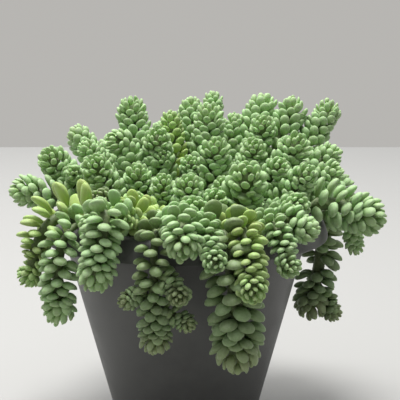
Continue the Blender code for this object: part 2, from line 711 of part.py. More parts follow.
def leafy_stem(name, own, leaves, colour, collection):
    """One node: a shoot's core with its side heads and leaves fused to it."""
    parts = bpy.data.collections.new(name + "_parts")
    bpy.context.scene.collection.children.link(parts)
    stem = link(name, tube_mesh(name, *own[0]), collection)
    for stations, radii in own[1:]:
        link("side", tube_mesh("side", stations, radii), parts)
    for corners in leaves:
        link("leaf", leaf_mesh(corners), parts)
    combine(stem, parts, "UNION")
    keep_body(stem)
    paint(stem, colour, LEAF_ROUGHNESS)


def leafy_stems(collection):
    feet = feet_of(np.array([row[1:4] for row in SHOOTS]))
    lines = shoot_lines(feet)
    tubes = shoot_tubes(lines, feet)
    leaves = place_leaves(lines, [(owner, core_hulls(*tube)) for owner, *tube in tubes])
    for index, row in enumerate(SHOOTS):
        own = [tube for owner, *tube in tubes if owner == index]
        leafy_stem(row[0], own, leaves[index], row[8], collection)
    return feet


def build():
    clear_scene()
    collection = bpy.data.collections.new("potted_sedum")
    bpy.context.scene.collection.children.link(collection)
    feet = leafy_stems(collection)
    pot(collection)
    soil(collection, feet)


build()
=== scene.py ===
# %% [markdown]
# # A potted sedum
#
# The plant is a small succulent: some sixty soft stems rise from the potting mix, and each one ends in a
# tight rosette of plump leaves. The outer stems lean over the pot's lip and hang beside it. The construction
# is finished elsewhere and arrives as a fixed frame of solids. This script dresses that frame: it gives each
# stem its real number of leaves, with their own shape, bloom and colour, and it finishes the pot and the
# potting mix.
#

# %% Load the frame
import math

import bmesh
import bpy
import numpy as np
from mathutils import Matrix, Vector, noise


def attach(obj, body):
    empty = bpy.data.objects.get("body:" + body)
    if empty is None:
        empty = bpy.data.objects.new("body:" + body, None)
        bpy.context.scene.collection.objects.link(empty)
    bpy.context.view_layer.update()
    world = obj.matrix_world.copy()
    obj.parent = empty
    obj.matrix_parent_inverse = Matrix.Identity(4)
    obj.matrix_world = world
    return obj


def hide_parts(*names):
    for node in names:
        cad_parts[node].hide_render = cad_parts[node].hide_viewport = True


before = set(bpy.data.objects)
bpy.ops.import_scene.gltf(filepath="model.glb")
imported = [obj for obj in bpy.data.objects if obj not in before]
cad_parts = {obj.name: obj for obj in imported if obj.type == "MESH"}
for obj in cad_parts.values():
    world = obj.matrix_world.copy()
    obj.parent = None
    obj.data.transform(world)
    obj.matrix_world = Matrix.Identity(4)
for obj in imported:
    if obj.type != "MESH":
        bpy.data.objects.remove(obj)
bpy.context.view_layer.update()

# %% [markdown]
# ## Camera
#
# The photograph looks down on the plant at about ten degrees from half a metre away. A long lens keeps the
# pot's sides from spreading, so the width of the view is set by the lens and not by moving closer. The camera
# is aimed with one direction vector, which is easier to read than three angles.

# %% Camera
AIM = Vector((0.0064, 0.0, 0.0998))
DISTANCE = 0.55
LOOK_DOWN = math.radians(10.5)
SENSOR_WIDTH = 36
LENS = 112


def add_object(name, content):
    """An object in the scene for a camera, a lamp or a mesh."""
    made = bpy.data.objects.new(name, content)
    bpy.context.scene.collection.objects.link(made)
    return made


camera = add_object("camera", bpy.data.cameras.new("camera"))
backwards = Vector((0, -math.cos(LOOK_DOWN), math.sin(LOOK_DOWN)))
camera.location = AIM + backwards * DISTANCE
camera.rotation_euler = (math.pi / 2 - LOOK_DOWN, 0, 0)
camera.data.sensor_width = SENSOR_WIDTH
camera.data.lens = LENS
bpy.context.scene.camera = camera
print("camera at", [round(v, 3) for v in camera.location])

# %% [markdown]
# ## Helpers for materials
#
# Every finish below is built from nodes. Small helpers keep those cells short: they place a node with its
# inputs, combine values, and start a material or a node group. A group that several materials share is built
# once and placed in each with its own values.

# %% Placing nodes
def fill(tree, socket, value):
    """Link another socket to this one, or store a plain value in it."""
    if isinstance(value, bpy.types.NodeSocket):
        tree.links.new(value, socket)
    else:
        socket.default_value = value


def feed(tree, node, **inputs):
    """Fill the inputs of a node that are named."""
    for name, value in inputs.items():
        fill(tree, node.inputs[name.replace("_", " ")], value)
    return node


def put(tree, kind, **inputs):
    """Add a node and feed it."""
    return feed(tree, tree.nodes.new(kind), **inputs)


def place_group(tree, group, **inputs):
    """Add a node that stands for a group and feed it."""
    node = tree.nodes.new("ShaderNodeGroup")
    node.node_tree = group
    return feed(tree, node, **inputs)


print("nodes can be placed")


# %% Combining values
def calculate(tree, operation, *values):
    """One operation on sockets and plain numbers."""
    node = tree.nodes.new("ShaderNodeMath")
    node.operation = operation
    for socket, value in zip(node.inputs, values):
        fill(tree, socket, value)
    return node.outputs[0]


def mix_colours(tree, share, first, second):
    """Blend two colours by a share and return the resulting socket."""
    node = tree.nodes.new("ShaderNodeMix")
    node.data_type = "RGBA"
    for place, value in zip((0, 6, 7), (share, first, second)):
        fill(tree, node.inputs[place], value)
    return node.outputs[2]


def remap(tree, value, low, high, to_low, to_high):
    """Stretch a value from one range to another, held at both ends."""
    node = put(tree, "ShaderNodeMapRange", Value=value, From_Min=low, From_Max=high, To_Min=to_low,
               To_Max=to_high)
    return node.outputs["Result"]


def add_relief(tree, shader, height, strength, distance):
    """Let a height lift and sink the shading of a surface."""
    bump = put(tree, "ShaderNodeBump", Height=height, Strength=strength, Distance=distance)
    feed(tree, shader, Normal=bump.outputs["Normal"])


print("values can be combined")


# %% Materials and groups
def start_material(name):
    """A new material, its node tree and its Principled shader."""
    made = bpy.data.materials.new(name)
    made.use_nodes = True
    return made, made.node_tree, made.node_tree.nodes["Principled BSDF"]


def start_group(name, inputs, outputs):
    """A node group from labels and first values of its sockets, and the nodes at its two ends."""
    tree = bpy.data.node_groups.new(name, "ShaderNodeTree")
    for side, sockets in (("INPUT", inputs), ("OUTPUT", outputs)):
        for label, value in sockets.items():
            kind = "NodeSocketFloat" if isinstance(value, float) else "NodeSocketColor"
            tree.interface.new_socket(name=label, in_out=side, socket_type=kind).default_value = value
    return tree, tree.nodes.new("NodeGroupInput"), tree.nodes.new("NodeGroupOutput")


print("helpers ready")

# %% [markdown]
# ## Floor and light
#
# The pot stands on a pale matt table top. A plane is enough for it, and its far edge is placed where the
# photograph shows the table end. Behind it only the grey of the room is seen, so the world is a plain grey to
# the camera. To everything else it is a bright ceiling that fades towards the front and towards the floor.
# That very soft light from above makes the broad shadow round the pot and leaves the pot's front dim. Two
# round panels, one behind the plant to the left and one above it, add a soft shine to the tops of the leaves.

# %% Floor
FLOOR_HALF_WIDTH = 3.0
FLOOR_FRONT = -3.0
FLOOR_BACK = 0.87
TABLE_COLOUR = (0.385, 0.381, 0.368, 1)
TABLE_ROUGHNESS = 0.55
floor_corners = [(-FLOOR_HALF_WIDTH, FLOOR_FRONT, 0), (FLOOR_HALF_WIDTH, FLOOR_FRONT, 0),
                 (FLOOR_HALF_WIDTH, FLOOR_BACK, 0), (-FLOOR_HALF_WIDTH, FLOOR_BACK, 0)]
floor_mesh = bpy.data.meshes.new("table_top")
floor_mesh.from_pydata(floor_corners, [], [(0, 1, 2, 3)])
floor = add_object("table_top", floor_mesh)
floor_finish, floor_tree, floor_shader = start_material("pale_table")
feed(floor_tree, floor_shader, Base_Color=TABLE_COLOUR, Roughness=TABLE_ROUGHNESS)
floor_mesh.materials.append(floor_finish)
print("floor ends at y =", FLOOR_BACK)

# %% Room
ROOM_GREY = (0.475, 0.465, 0.445, 1)
CEILING_COLOUR = (0.98, 0.99, 1.0, 1)
CEILING_LIGHT = 0.95
LOWEST_LIGHT = 0.02
BRIGHTEST_WAY = (-0.15, 0.30, 0.94)
DARK_BELOW = -0.05
BRIGHT_ABOVE = 0.9
room = bpy.data.worlds.new("room")
room.use_nodes = True
room_tree = room.node_tree
room_tree.nodes.clear()
upwards = room_tree.nodes.new("ShaderNodeVectorMath")
upwards.operation = "DOT_PRODUCT"
fill(room_tree, upwards.inputs[0], room_tree.nodes.new("ShaderNodeTexCoord").outputs["Generated"])
fill(room_tree, upwards.inputs[1], BRIGHTEST_WAY)
ceiling = remap(room_tree, upwards.outputs["Value"], DARK_BELOW, BRIGHT_ABOVE, LOWEST_LIGHT, CEILING_LIGHT)
lit = put(room_tree, "ShaderNodeBackground", Color=CEILING_COLOUR, Strength=ceiling)
seen = put(room_tree, "ShaderNodeBackground", Color=ROOM_GREY, Strength=1.0)
for_camera = room_tree.nodes.new("ShaderNodeLightPath").outputs["Is Camera Ray"]
either = room_tree.nodes.new("ShaderNodeMixShader")
for socket, value in zip(either.inputs, (for_camera, lit.outputs[0], seen.outputs[0])):
    fill(room_tree, socket, value)
put(room_tree, "ShaderNodeOutputWorld", Surface=either.outputs[0])
bpy.context.scene.world = room
bpy.context.scene.view_settings.view_transform = "Standard"
print("room:", len(room_tree.nodes), "nodes")

# %% Lamps
# name, place, width, watts, colour
LAMPS = (
    ("window_panel", (-0.35, 0.60, 1.05), 0.8, 7.0, (1.0, 0.99, 0.97)),
    ("top_panel", (-0.08, 0.05, 1.30), 0.6, 18.0, (1.0, 1.0, 1.0)),
)
LIT_PLACE = Vector((0, 0, 0.10))
for name, place, width, watts, colour in LAMPS:
    lamp = bpy.data.lights.new(name, "AREA")
    lamp.shape = "DISK"
    lamp.size = width
    lamp.energy = watts
    lamp.color = colour
    holder = add_object(name, lamp)
    holder.location = place
    holder.rotation_euler = (LIT_PLACE - Vector(place)).to_track_quat("-Z", "Y").to_euler()
    print(name, "shines with", watts, "watts")

# %% [markdown]
# ## The shoots
#
# Every stem is one row of a table: where its tip is, which way the tip faces, how far its leaves spread from
# the stem and how long its leafy part is. The rows are the same as in the solids, so each dressed shoot grows
# exactly where its solid stands. A few shoots carry a small side head, and a second table lists those. Most
# leaves are glaucous, which means pale with bloom. The exceptions are named.

# %% Table of shoots
# tip x y z in mm, azimuth and elevation that it faces in degrees,
# spread of its leaves and leafy run in tenths of a mm
# the shoots of a group stand in order, from 01
TIPS = {
    "top": (
        (-26, 39, 142, -90, 80, 75, 250), (-35, 18, 127, 195, 15, 68, 200),
        (-13, 10, 130, -80, 40, 68, 200), (2, 47, 141, 110, 75, 66, 220), (13, 64, 142, 90, 70, 49, 140),
        (11, 29, 140, -90, 80, 74, 360), (14, 1, 128, -85, 60, 71, 260), (38, 53, 142, 60, 65, 76, 250),
        (51, 44, 141, 60, 75, 75, 250), (68, 46, 140, 50, 80, 66, 280), (36, 26, 134, -90, 55, 65, 180),
        (32, 14, 125, -85, 50, 63, 200), (52, 8, 128, -60, 50, 76, 240), (-7, 33, 136, 90, 80, 60, 220),
        (-22, -7, 117, -95, 60, 66, 200), (23, 43, 134, 80, 80, 52, 160), (17, -13, 112, -100, 55, 52, 180),
    ),
    "front": (
        (28, -33, 120, -88, 40, 92, 280), (42, -13, 120, -60, 45, 56, 180),
        (54, -22, 118, -60, 45, 64, 200), (48, -43, 106, -80, 15, 58, 200), (4, -49, 107, -85, 25, 69, 200),
        (2, -35, 116, -90, 50, 67, 200), (-10, -19, 114, -95, 55, 56, 190),
        (-24, -54, 103, -100, 30, 52, 140), (-37, -31, 108, -105, 25, 55, 170),
        (-37, -61, 98, -120, -5, 60, 240), (0, -78, 91, -92, -40, 85, 360), (12, -79, 87, -95, -5, 54, 240),
        (44, -66, 82, -50, -5, 55, 240), (52, -50, 92, 0, 5, 65, 280), (14, -38, 109, -70, 30, 58, 180),
        (-22, -39, 109, -100, 50, 62, 190),
    ),
    "left": (
        (-40, -15, 121, -100, 40, 65, 190), (-64, 8, 121, -130, 40, 76, 240),
        (-78, 2, 105, 184, -4, 75, 400), (-54, 38, 127, 150, 40, 65, 240), (-47, 20, 124, 180, 60, 55, 160),
    ),
    "right": (
        (70, 6, 114, -20, 30, 67, 260), (86, -18, 92, -25, -15, 99, 330), (71, 29, 119, 10, 35, 65, 240),
    ),
    "hanging": (
        (-67, -43, 72, 200, -30, 87, 380), (-35, -68, 75, -105, -60, 83, 340),
        (-52, -51, 57, -125, -60, 78, 320), (59, 27, 37, -20, -80, 94, 420),
        (27, -83, 76, -85, -15, 69, 420), (21, -68, 42, -80, -75, 111, 480),
        (-11, -65, 49, -90, -75, 72, 340),
    ),
    "back": (
        (26, 74, 118, 80, 30, 85, 260), (-8, 76, 112, 95, 15, 85, 240), (-38, 66, 119, 120, 35, 85, 260),
        (54, 62, 110, 50, 15, 85, 260), (14, 78, 79, 85, -70, 85, 260), (-34, 70, 72, 110, -70, 85, 280),
        (-60, 38, 100, 150, -10, 85, 300), (78, 30, 97, 20, -20, 85, 300), (50, 60, 66, 50, -75, 85, 260),
        (-12, 60, 128, 100, 70, 70, 200),
    ),
}
YELLOW_GREEN = {"top_14", "front_08", "front_16", "hanging_01", "hanging_05"}
# the shoots in SHADED get the darker shaded_leaf colours, painted shade for shoots that sit in shadow
SHADED = {"front_09", "hanging_04", "hanging_06", "hanging_07", "back_05", "back_06", "back_09"}


def in_metres(row):
    """A row of the table with its lengths in metres and its two angles as they are."""
    x, y, z, azimuth, elevation, spread, run = row
    return x / 1000, y / 1000, z / 1000, azimuth, elevation, spread / 10000, run / 10000


def finish_of(name):
    if name in YELLOW_GREEN:
        return "yellow_green_leaf"
    return "shaded_leaf" if name in SHADED else "glaucous_leaf"


SHOOTS = []
for group, rows in TIPS.items():
    for number, row in enumerate(rows, start=1):
        name = f"{group}_{number:02d}"
        SHOOTS.append((f"stem_{name}", *in_metres(row), finish_of(name)))
print(len(SHOOTS), "shoots")

# %% Table of side heads
# carrying shoot, share of its route where the side head leaves it, then as above
SIDE_TIPS = (
    ("top_07", 0.60, (-1, 2, 118, -90, 50, 49, 100)),
    ("top_03", 0.66, (-9, 5, 119, -100, 40, 45, 80)),
    ("front_05", 0.80, (-13, -47, 100, 190, 0, 45, 90)),
    ("left_02", 0.62, (-49, -7, 114, -110, 30, 39, 80)),
    ("right_02", 0.72, (76, -4, 76, 10, -70, 44, 110)),
    ("hanging_04", 0.84, (72, 26, 38, 0, -30, 52, 100)),
    ("hanging_07", 0.64, (0, -76, 73, -90, -20, 51, 120)),
    ("hanging_07", 0.72, (-26, -66, 70, 200, -15, 43, 140)),
    ("hanging_07", 0.80, (4, -68, 60, -40, -40, 43, 120)),
)
SIDE_HEADS = [(f"stem_{name}", share, *in_metres(row)) for name, share, row in SIDE_TIPS]
print(len(SIDE_HEADS), "side heads")

# %% [markdown]
# ## Where the stems stand
#
# A stem stands in the potting mix roughly below its head, drawn in towards the middle of the pot. Feet that
# come too close push each other apart a little at a time, which spreads them evenly without any random draw.

# %% Pot measures
POT_HEIGHT = 0.094
LIP_RADIUS = 0.063
LIP_TOP_RADIUS = 0.0590
LIP_HEIGHT = 0.0095
BODY_TOP_RADIUS = 0.0557
FOOT_RADIUS = 0.031
WALL = 0.002
FLOOR = 0.003
RIM_ROUND = 0.0008
LIP_BULGE = 0.0010
DRAIN_RADIUS = 0.0028
DRAIN_RING = 0.018
DRAIN_COUNT = 4
print("pot:", round(2000 * LIP_RADIUS), "mm across the lip,", round(1000 * POT_HEIGHT), "mm high")

# %% Feet of the stems
SOIL_LEVEL = 0.0805
STEM_RADIUS = 0.0016
TIP_RADIUS = 0.0008
HOLE_DEPTH = 0.007
FOOT_SHARE = 0.62
FOOT_REACH = 0.0425
FOOT_SPACING = 0.0088
FOOT_ROUNDS = 400
FOOT_PUSH = 0.3
COLLAR_RISE = 0.003


def unit(vector):
    return vector / np.linalg.norm(vector)


def facing(azimuth, elevation):
    turn = math.radians(azimuth)
    rise = math.radians(elevation)
    flat = math.cos(rise)
    return np.array([flat * math.cos(turn), flat * math.sin(turn), math.sin(rise)])


def feet_of(tips):
    """Where the stems stand: drawn in from their tips, then spread evenly over the potting mix."""
    feet = tips[:, :2] * FOOT_SHARE
    for _ in range(FOOT_ROUNDS):
        reach = np.linalg.norm(feet, axis=1, keepdims=True)
        feet = feet * np.minimum(1, FOOT_REACH / reach)
        apart = feet[:, None] - feet[None]
        distance = np.linalg.norm(apart, axis=2) + np.eye(len(feet))
        short = np.clip(FOOT_SPACING - distance, 0, None) * (1 - np.eye(len(feet)))
        feet = feet + (apart / distance[..., None] * short[..., None]).sum(1) * FOOT_PUSH
    reach = np.linalg.norm(feet, axis=1, keepdims=True)
    return feet * np.minimum(1, FOOT_REACH / reach)


tips = np.array([row[1:4] for row in SHOOTS])
feet = feet_of(tips)
print("feet reach", round(1000 * float(np.linalg.norm(feet, axis=1).max()), 1), "mm from the pot's axis")

# %% [markdown]
# ## The way each stem takes
#
# A stem leaves the potting mix upright and arrives at its tip facing the way the head faces. A cubic curve
# between two points with given directions does that in one formula. A hanging stem takes two such curves,
# with the pot's lip between them.

# %% Routes from foot to tip
HANGING_INSET = 0.005
HANGING_HEIGHT = 0.012
CROSSING_HEIGHT = 0.0085
CROSSING_OVERHANG = 0.0050
CROSSING_LIFT = 1.3
CROSSING_FALL = 0.55
ARC_STEPS = 40
ROUTE_STEPS = 25
SIDE_STEPS = 9
SIDE_RISE = 0.3
UP = np.array([0, 0, 1.0])


def arc(start, leave, end, arrive, steps):
    """A smooth cubic from start to end with the given end tangents."""
    t = np.linspace(0, 1, steps)[:, None]
    return ((2 * t ** 3 - 3 * t ** 2 + 1) * start + (t ** 3 - 2 * t ** 2 + t) * leave
            + (3 * t ** 2 - 2 * t ** 3) * end + (t ** 3 - t ** 2) * arrive)


def distances(points):
    """How far each point of a line lies from its first, measured along it."""
    return np.concatenate([[0], np.cumsum(np.linalg.norm(np.diff(points, axis=0), axis=1))])


def places_at(points, wanted):
    """Places on a line at the wanted distances from its first point."""
    known = distances(points)
    return np.stack([np.interp(wanted, known, points[:, axis]) for axis in range(3)], axis=1)


def even(points, steps):
    """The same line with its points an equal distance apart."""
    return places_at(points, np.linspace(0, distances(points)[-1], steps))


def hangs(tip):
    """Whether a shoot's tip lies out over the lip and low enough to need a route across it."""
    return math.hypot(tip[0], tip[1]) > LIP_RADIUS - HANGING_INSET and tip[2] < POT_HEIGHT + HANGING_HEIGHT


def first_route(foot, tip, face):
    """From the potting mix up and out to the tip, over the lip where the tip hangs outside it."""
    start = np.array([foot[0], foot[1], SOIL_LEVEL + COLLAR_RISE])
    out = np.array([tip[0], tip[1], 0]) / math.hypot(tip[0], tip[1])
    if not hangs(tip):
        length = np.linalg.norm(tip - start)
        return even(arc(start, UP * length, tip, face * length, ARC_STEPS), ROUTE_STEPS)
    over = out * (LIP_RADIUS + CROSSING_OVERHANG) + UP * (POT_HEIGHT + CROSSING_HEIGHT)
    rise = np.linalg.norm(over - start)
    fall = np.linalg.norm(tip - over)
    ahead = out - UP * CROSSING_FALL
    first = arc(start, UP * (CROSSING_LIFT * rise), over, ahead * rise, ARC_STEPS)
    second = arc(over, ahead * fall, tip, face * fall, ARC_STEPS)
    return even(np.concatenate([first, second[1:]]), ROUTE_STEPS)


def side_route(route, share, tip, face):
    """From a point on a carrying shoot out to the tip of its side head."""
    start = route[round(share * (len(route) - 1))]
    length = np.linalg.norm(tip - start)
    ahead = unit(unit(tip - start) + UP * SIDE_RISE)
    return even(arc(start, ahead * length, tip, face * length, ARC_STEPS), SIDE_STEPS)


print("a hanging tip:", hangs(tips[45]), " an upright one:", hangs(tips[0]))

# %% [markdown]
# ## Keeping the stems apart
#
# Sixty curves drawn that way would run through one another and through the pot. Here each point of a route is
# pushed away from points of other routes that are too near, and away from the pot's wall, and then eased
# back onto a smooth line. After ninety small rounds nothing crosses.

# %% Distance from the pot's wall
# keeps a division by a length of zero from failing
NEVER_ZERO = 1e-9


def lip_bulge():
    """The lip's outer radius halfway down it."""
    return (LIP_RADIUS + LIP_TOP_RADIUS) / 2 + LIP_BULGE


def wall_line():
    """The middle of the pot's wall in section, from the foot to the rim and down the lip."""
    half = WALL / 2
    return np.array([
        (FOOT_RADIUS - half, half),
        (BODY_TOP_RADIUS - half, POT_HEIGHT - half),
        (LIP_TOP_RADIUS - half, POT_HEIGHT - half),
        (lip_bulge() - half, POT_HEIGHT - LIP_HEIGHT / 2),
        (LIP_RADIUS - half, POT_HEIGHT - LIP_HEIGHT),
    ])


def off_wall(points):
    """How far points lie from the middle of the pot's wall, and the way that leads off it."""
    section = np.stack([np.linalg.norm(points[:, :2], axis=1), points[:, 2]], axis=1)
    line = wall_line()
    best = np.full(len(points), np.inf)
    away = np.zeros((len(points), 2))
    for start, end in zip(line[:-1], line[1:]):
        span = end - start
        share = np.clip((section - start) @ span / (span @ span), 0, 1)
        offset = section - (start + share[:, None] * span)
        distance = np.linalg.norm(offset, axis=1)
        nearer = distance < best
        best = np.where(nearer, distance, best)
        away = np.where(nearer[:, None], offset / np.maximum(distance, NEVER_ZERO)[:, None], away)
    out = points[:, :2] / np.maximum(section[:, :1], NEVER_ZERO)
    return best, np.concatenate([out * away[:, :1], away[:, 1:]], axis=1)


print("middle of the wall at the rim:", wall_line()[-1])

# %% Bending the stems clear
BEND_ROUNDS = 90
HELD_AT_FOOT = 2
HELD_AT_TIP = 3
BEND_PUSH = 0.25
BEND_LIMIT = 0.0012
BEND_EASE = 0.25
WALL_CLEARANCE = 0.0020
ROUTE_CLEARANCE = 0.0007
CORE_SHARE = 0.60
HANGING_CORE_SHARE = 0.46
CORE_TAPER = 0.006


def route_length(route):
    return np.linalg.norm(np.diff(route, axis=0), axis=1).sum()


def core_radii(downs, spread, run, share):
    """A core is a dome at its tip, full along the leafy run and a bare stem below it."""
    full = max(share * spread, STEM_RADIUS)
    inside = np.clip((spread - np.asarray(downs)) / full, 0, 1)
    dome = np.maximum(full * np.sqrt(1 - inside ** 2), TIP_RADIUS)
    bare = np.clip((downs - run) / CORE_TAPER, 0, 1)
    return dome + (STEM_RADIUS - dome) * bare


def bend_clear(routes, spreads, runs):
    """Bend the stems round one another, round the heads and off the pot; feet and tips stay put."""
    count, steps, _ = routes.shape
    bulk = []
    for route, spread, run in zip(routes, spreads, runs):
        downs = (1 - np.linspace(0, 1, steps)) * route_length(route)
        share = HANGING_CORE_SHARE if hangs(route[-1]) else CORE_SHARE
        bulk.append(core_radii(downs, spread, run, share))
    bulk = np.concatenate(bulk)
    free = np.ones((count, steps))
    free[:, :HELD_AT_FOOT] = 0
    free[:, -HELD_AT_TIP:] = 0
    free = free.reshape(-1)
    owner = np.repeat(np.arange(count), steps)
    foreign = owner[:, None] != owner[None]
    room = bulk[:, None] + bulk[None] + 2 * ROUTE_CLEARANCE
    for _ in range(BEND_ROUNDS):
        flat = routes.reshape(-1, 3)
        apart = flat[:, None] - flat[None]
        distance = np.sqrt((apart ** 2).sum(2)) + NEVER_ZERO
        short = np.clip(room - distance, 0, None) * foreign
        push = (apart * (short / distance)[..., None]).sum(1) * BEND_PUSH
        push = np.clip(push, -BEND_LIMIT, BEND_LIMIT)
        gap, away = off_wall(flat)
        push = push + away * np.clip(WALL / 2 + bulk + WALL_CLEARANCE - gap, 0, None)[:, None]
        flat = flat + push * free[:, None]
        routes = flat.reshape(count, steps, 3)
        mean = (routes[:, :-2] + routes[:, 2:]) / 2
        routes[:, 1:-1] += (mean - routes[:, 1:-1]) * BEND_EASE * free.reshape(count, steps)[:, 1:-1, None]
    return routes


spreads = [row[6] for row in SHOOTS]
runs = [row[7] for row in SHOOTS]
routes = []
for row, foot in zip(SHOOTS, feet):
    routes.append(first_route(foot, np.array(row[1:4]), facing(row[4], row[5])))
routes = bend_clear(np.array(routes), spreads, runs)
print("routes:", routes.shape, "longest in mm:", round(1000 * max(route_length(route) for route in routes)))

# %% [markdown]
# ## One leaf
#
# A leaf of this plant is plump and oblong, blunt at its end, narrower where it joins the stem, a little flat
# on the side that faces the tip of the shoot and rounder behind. It is made as rings of points along its
# length. Two versions are enough: one with more sides for the large leaves, and one with fewer for the beads
# in the middle of a rosette, which are only a few pixels wide.

# %% Leaf shape
LEAF_CURL = 0.17
CURL_SHORTENS = 0.35
WIDEST_PLACE = 1.32
BLUNTNESS = 0.46


def leaf_shape(sides, rings, above, behind):
    """Points and faces of a leaf one long and one wide: x across, y towards the shoot's tip, z along it."""
    points = [(0.0, 0.0, 0.0)]
    for ring in range(1, rings):
        along = (1 - math.cos(math.pi * ring / rings)) / 2
        half = 0.5 * math.sin(math.pi * along ** WIDEST_PLACE) ** BLUNTNESS
        for side in range(sides):
            angle = 2 * math.pi * side / sides
            height = math.sin(angle) * half
            height *= above if height > 0 else behind
            points.append((math.cos(angle) * half, height, along))
    points.append((0.0, 0.0, 1.0))
    last = len(points) - 1
    faces = []
    for side in range(sides):
        after = (side + 1) % sides
        faces.append((0, 1 + after, 1 + side))
        for start in range(1, last - sides, sides):
            faces.append((start + side, start + after, start + sides + after, start + sides + side))
        faces.append((last - sides + side, last - sides + after, last))
    return np.array(points), faces


LARGE_LEAF = leaf_shape(sides=10, rings=8, above=0.44, behind=0.68)
SMALL_LEAF = leaf_shape(sides=7, rings=6, above=0.55, behind=0.80)
print("points in a large and a small leaf:", len(LARGE_LEAF[0]), len(SMALL_LEAF[0]))

# %% [markdown]
# ## How leaves sit on a shoot
#
# New leaves form at the tip, each turned 137.5 degrees from the one before. That single rule gives the tight
# spiral in the middle of each rosette. The first leaves are small beads that point forwards. Further down
# they grow and lean outwards, so their ends lie on a dome, and below the dome they stand out from the stem in
# the same spiral. Low on the stem they are larger, older and further apart.

# %% Points along a route
TANGENT_STEP = 0.0012
SIDEWAYS = (0.37, 0.21, 0.90)


def units(vectors):
    return vectors / np.linalg.norm(vectors, axis=1)[:, None]


def swing(angles, first, second):
    """Directions at angles from a first direction towards a second one."""
    return np.cos(angles)[:, None] * first + np.sin(angles)[:, None] * second


def down_route(route, downs):
    """Places at distances down from a route's tip, and the stem's direction at each."""
    tip = distances(route)[-1]
    downs = np.asarray(downs, float)
    higher = np.maximum(downs - TANGENT_STEP, 0)
    lower = higher + 2 * TANGENT_STEP
    ahead = places_at(route, tip - higher) - places_at(route, tip - lower)
    return places_at(route, tip - downs), units(ahead)


def across(ahead):
    """For each direction along a stem, a direction across it that turns as little as possible."""
    side = unit(np.cross(ahead[0], SIDEWAYS))
    sides = []
    for direction in ahead:
        side = unit(side - direction * (side @ direction))
        sides.append(side)
    return np.array(sides)


print("direction of the first head:", down_route(routes[0], [0.002])[1][0].round(2))

# %% Spacing of the leaves
DOME_DENSITY = 7.9
DOME_EDGE = math.radians(86)
BARE_FOOT = 0.0045
LEAST_COLUMN = 0.006
LOW_SPACING = 0.0016
LEAST_WIDTH = 0.0010
WIDTH_BY_SPREAD = 0.50
MIDDLE_SIZE = 0.44
SIZE_GROWTH = 0.7
FIRST_SHARE = 0.35


def leaf_width(spread):
    """Width of a grown leaf. Leaves of a small head are nearly as wide as those of a large one."""
    return LEAST_WIDTH + WIDTH_BY_SPREAD * spread


def how_low(downs, spread, run):
    """How far down the leafy column a place is: 0 below the dome, 1 at the end of the leafy run."""
    return (downs - spread) / max(run - spread, LEAST_COLUMN)


def spaced_downs(spread, run, length, open_growth):
    """Distances down the stem of the leaves below the dome, further apart the lower they are."""
    downs = []
    down = spread
    pitch = leaf_width(spread) ** 2 / (2 * math.pi * spread)
    while down < length - BARE_FOOT:
        downs.append(down)
        down += min(pitch * (1 + open_growth * how_low(down, spread, run)), LOW_SPACING)
    return downs


def leaf_size(share):
    """Size of a leaf against a grown one. Those in the middle of a head are under half as large."""
    return MIDDLE_SIZE + (1 - MIDDLE_SIZE) * share ** SIZE_GROWTH


def dome(spread, edge):
    """Leaves of the dome: how far out each is, its size, and its angle from the way the head faces."""
    count = round(DOME_DENSITY * (1 - math.cos(edge)) * (spread / leaf_width(spread)) ** 2)
    share = (np.arange(count) + FIRST_SHARE) / count
    size = leaf_size(share)
    taken = np.cumsum(size ** 2) - 0.5 * size ** 2
    return share, np.arccos(1 - taken / taken[-1] * (1 - math.cos(edge)))


print("leaves in the first dome:", len(dome(SHOOTS[0][6], DOME_EDGE)[0]))

# %% Leaves of one shoot
GOLDEN_ANGLE = math.radians(137.508)
LONGEST_RUN = 0.9
EDGE_TURN = 0.4
FACED = 1.2
LOWEST = 1.3
WIDENING = 0.16
LOW_WIDTH = 0.18
STRETCH_WIDTH = 0.3
LONG_BY_WIDE = 1.75
LONG_BY_REACH = 0.88
UPWARD_PULL = 0.28
MIDDLE_LEAN = math.radians(3)
LOW_LEAN = math.radians(6)
LEAN_BY_ANGLE = 0.72
LEAN_OUTER = 0.06
BUD_AGE = 0.10
DOME_AGE = 0.35
LOW_AGE = 0.45
UNEVEN_REACH = 0.04
UNEVEN_TURN = 0.08
UNEVEN_LEAN = 0.09
UNEVEN_SIZE = 0.06


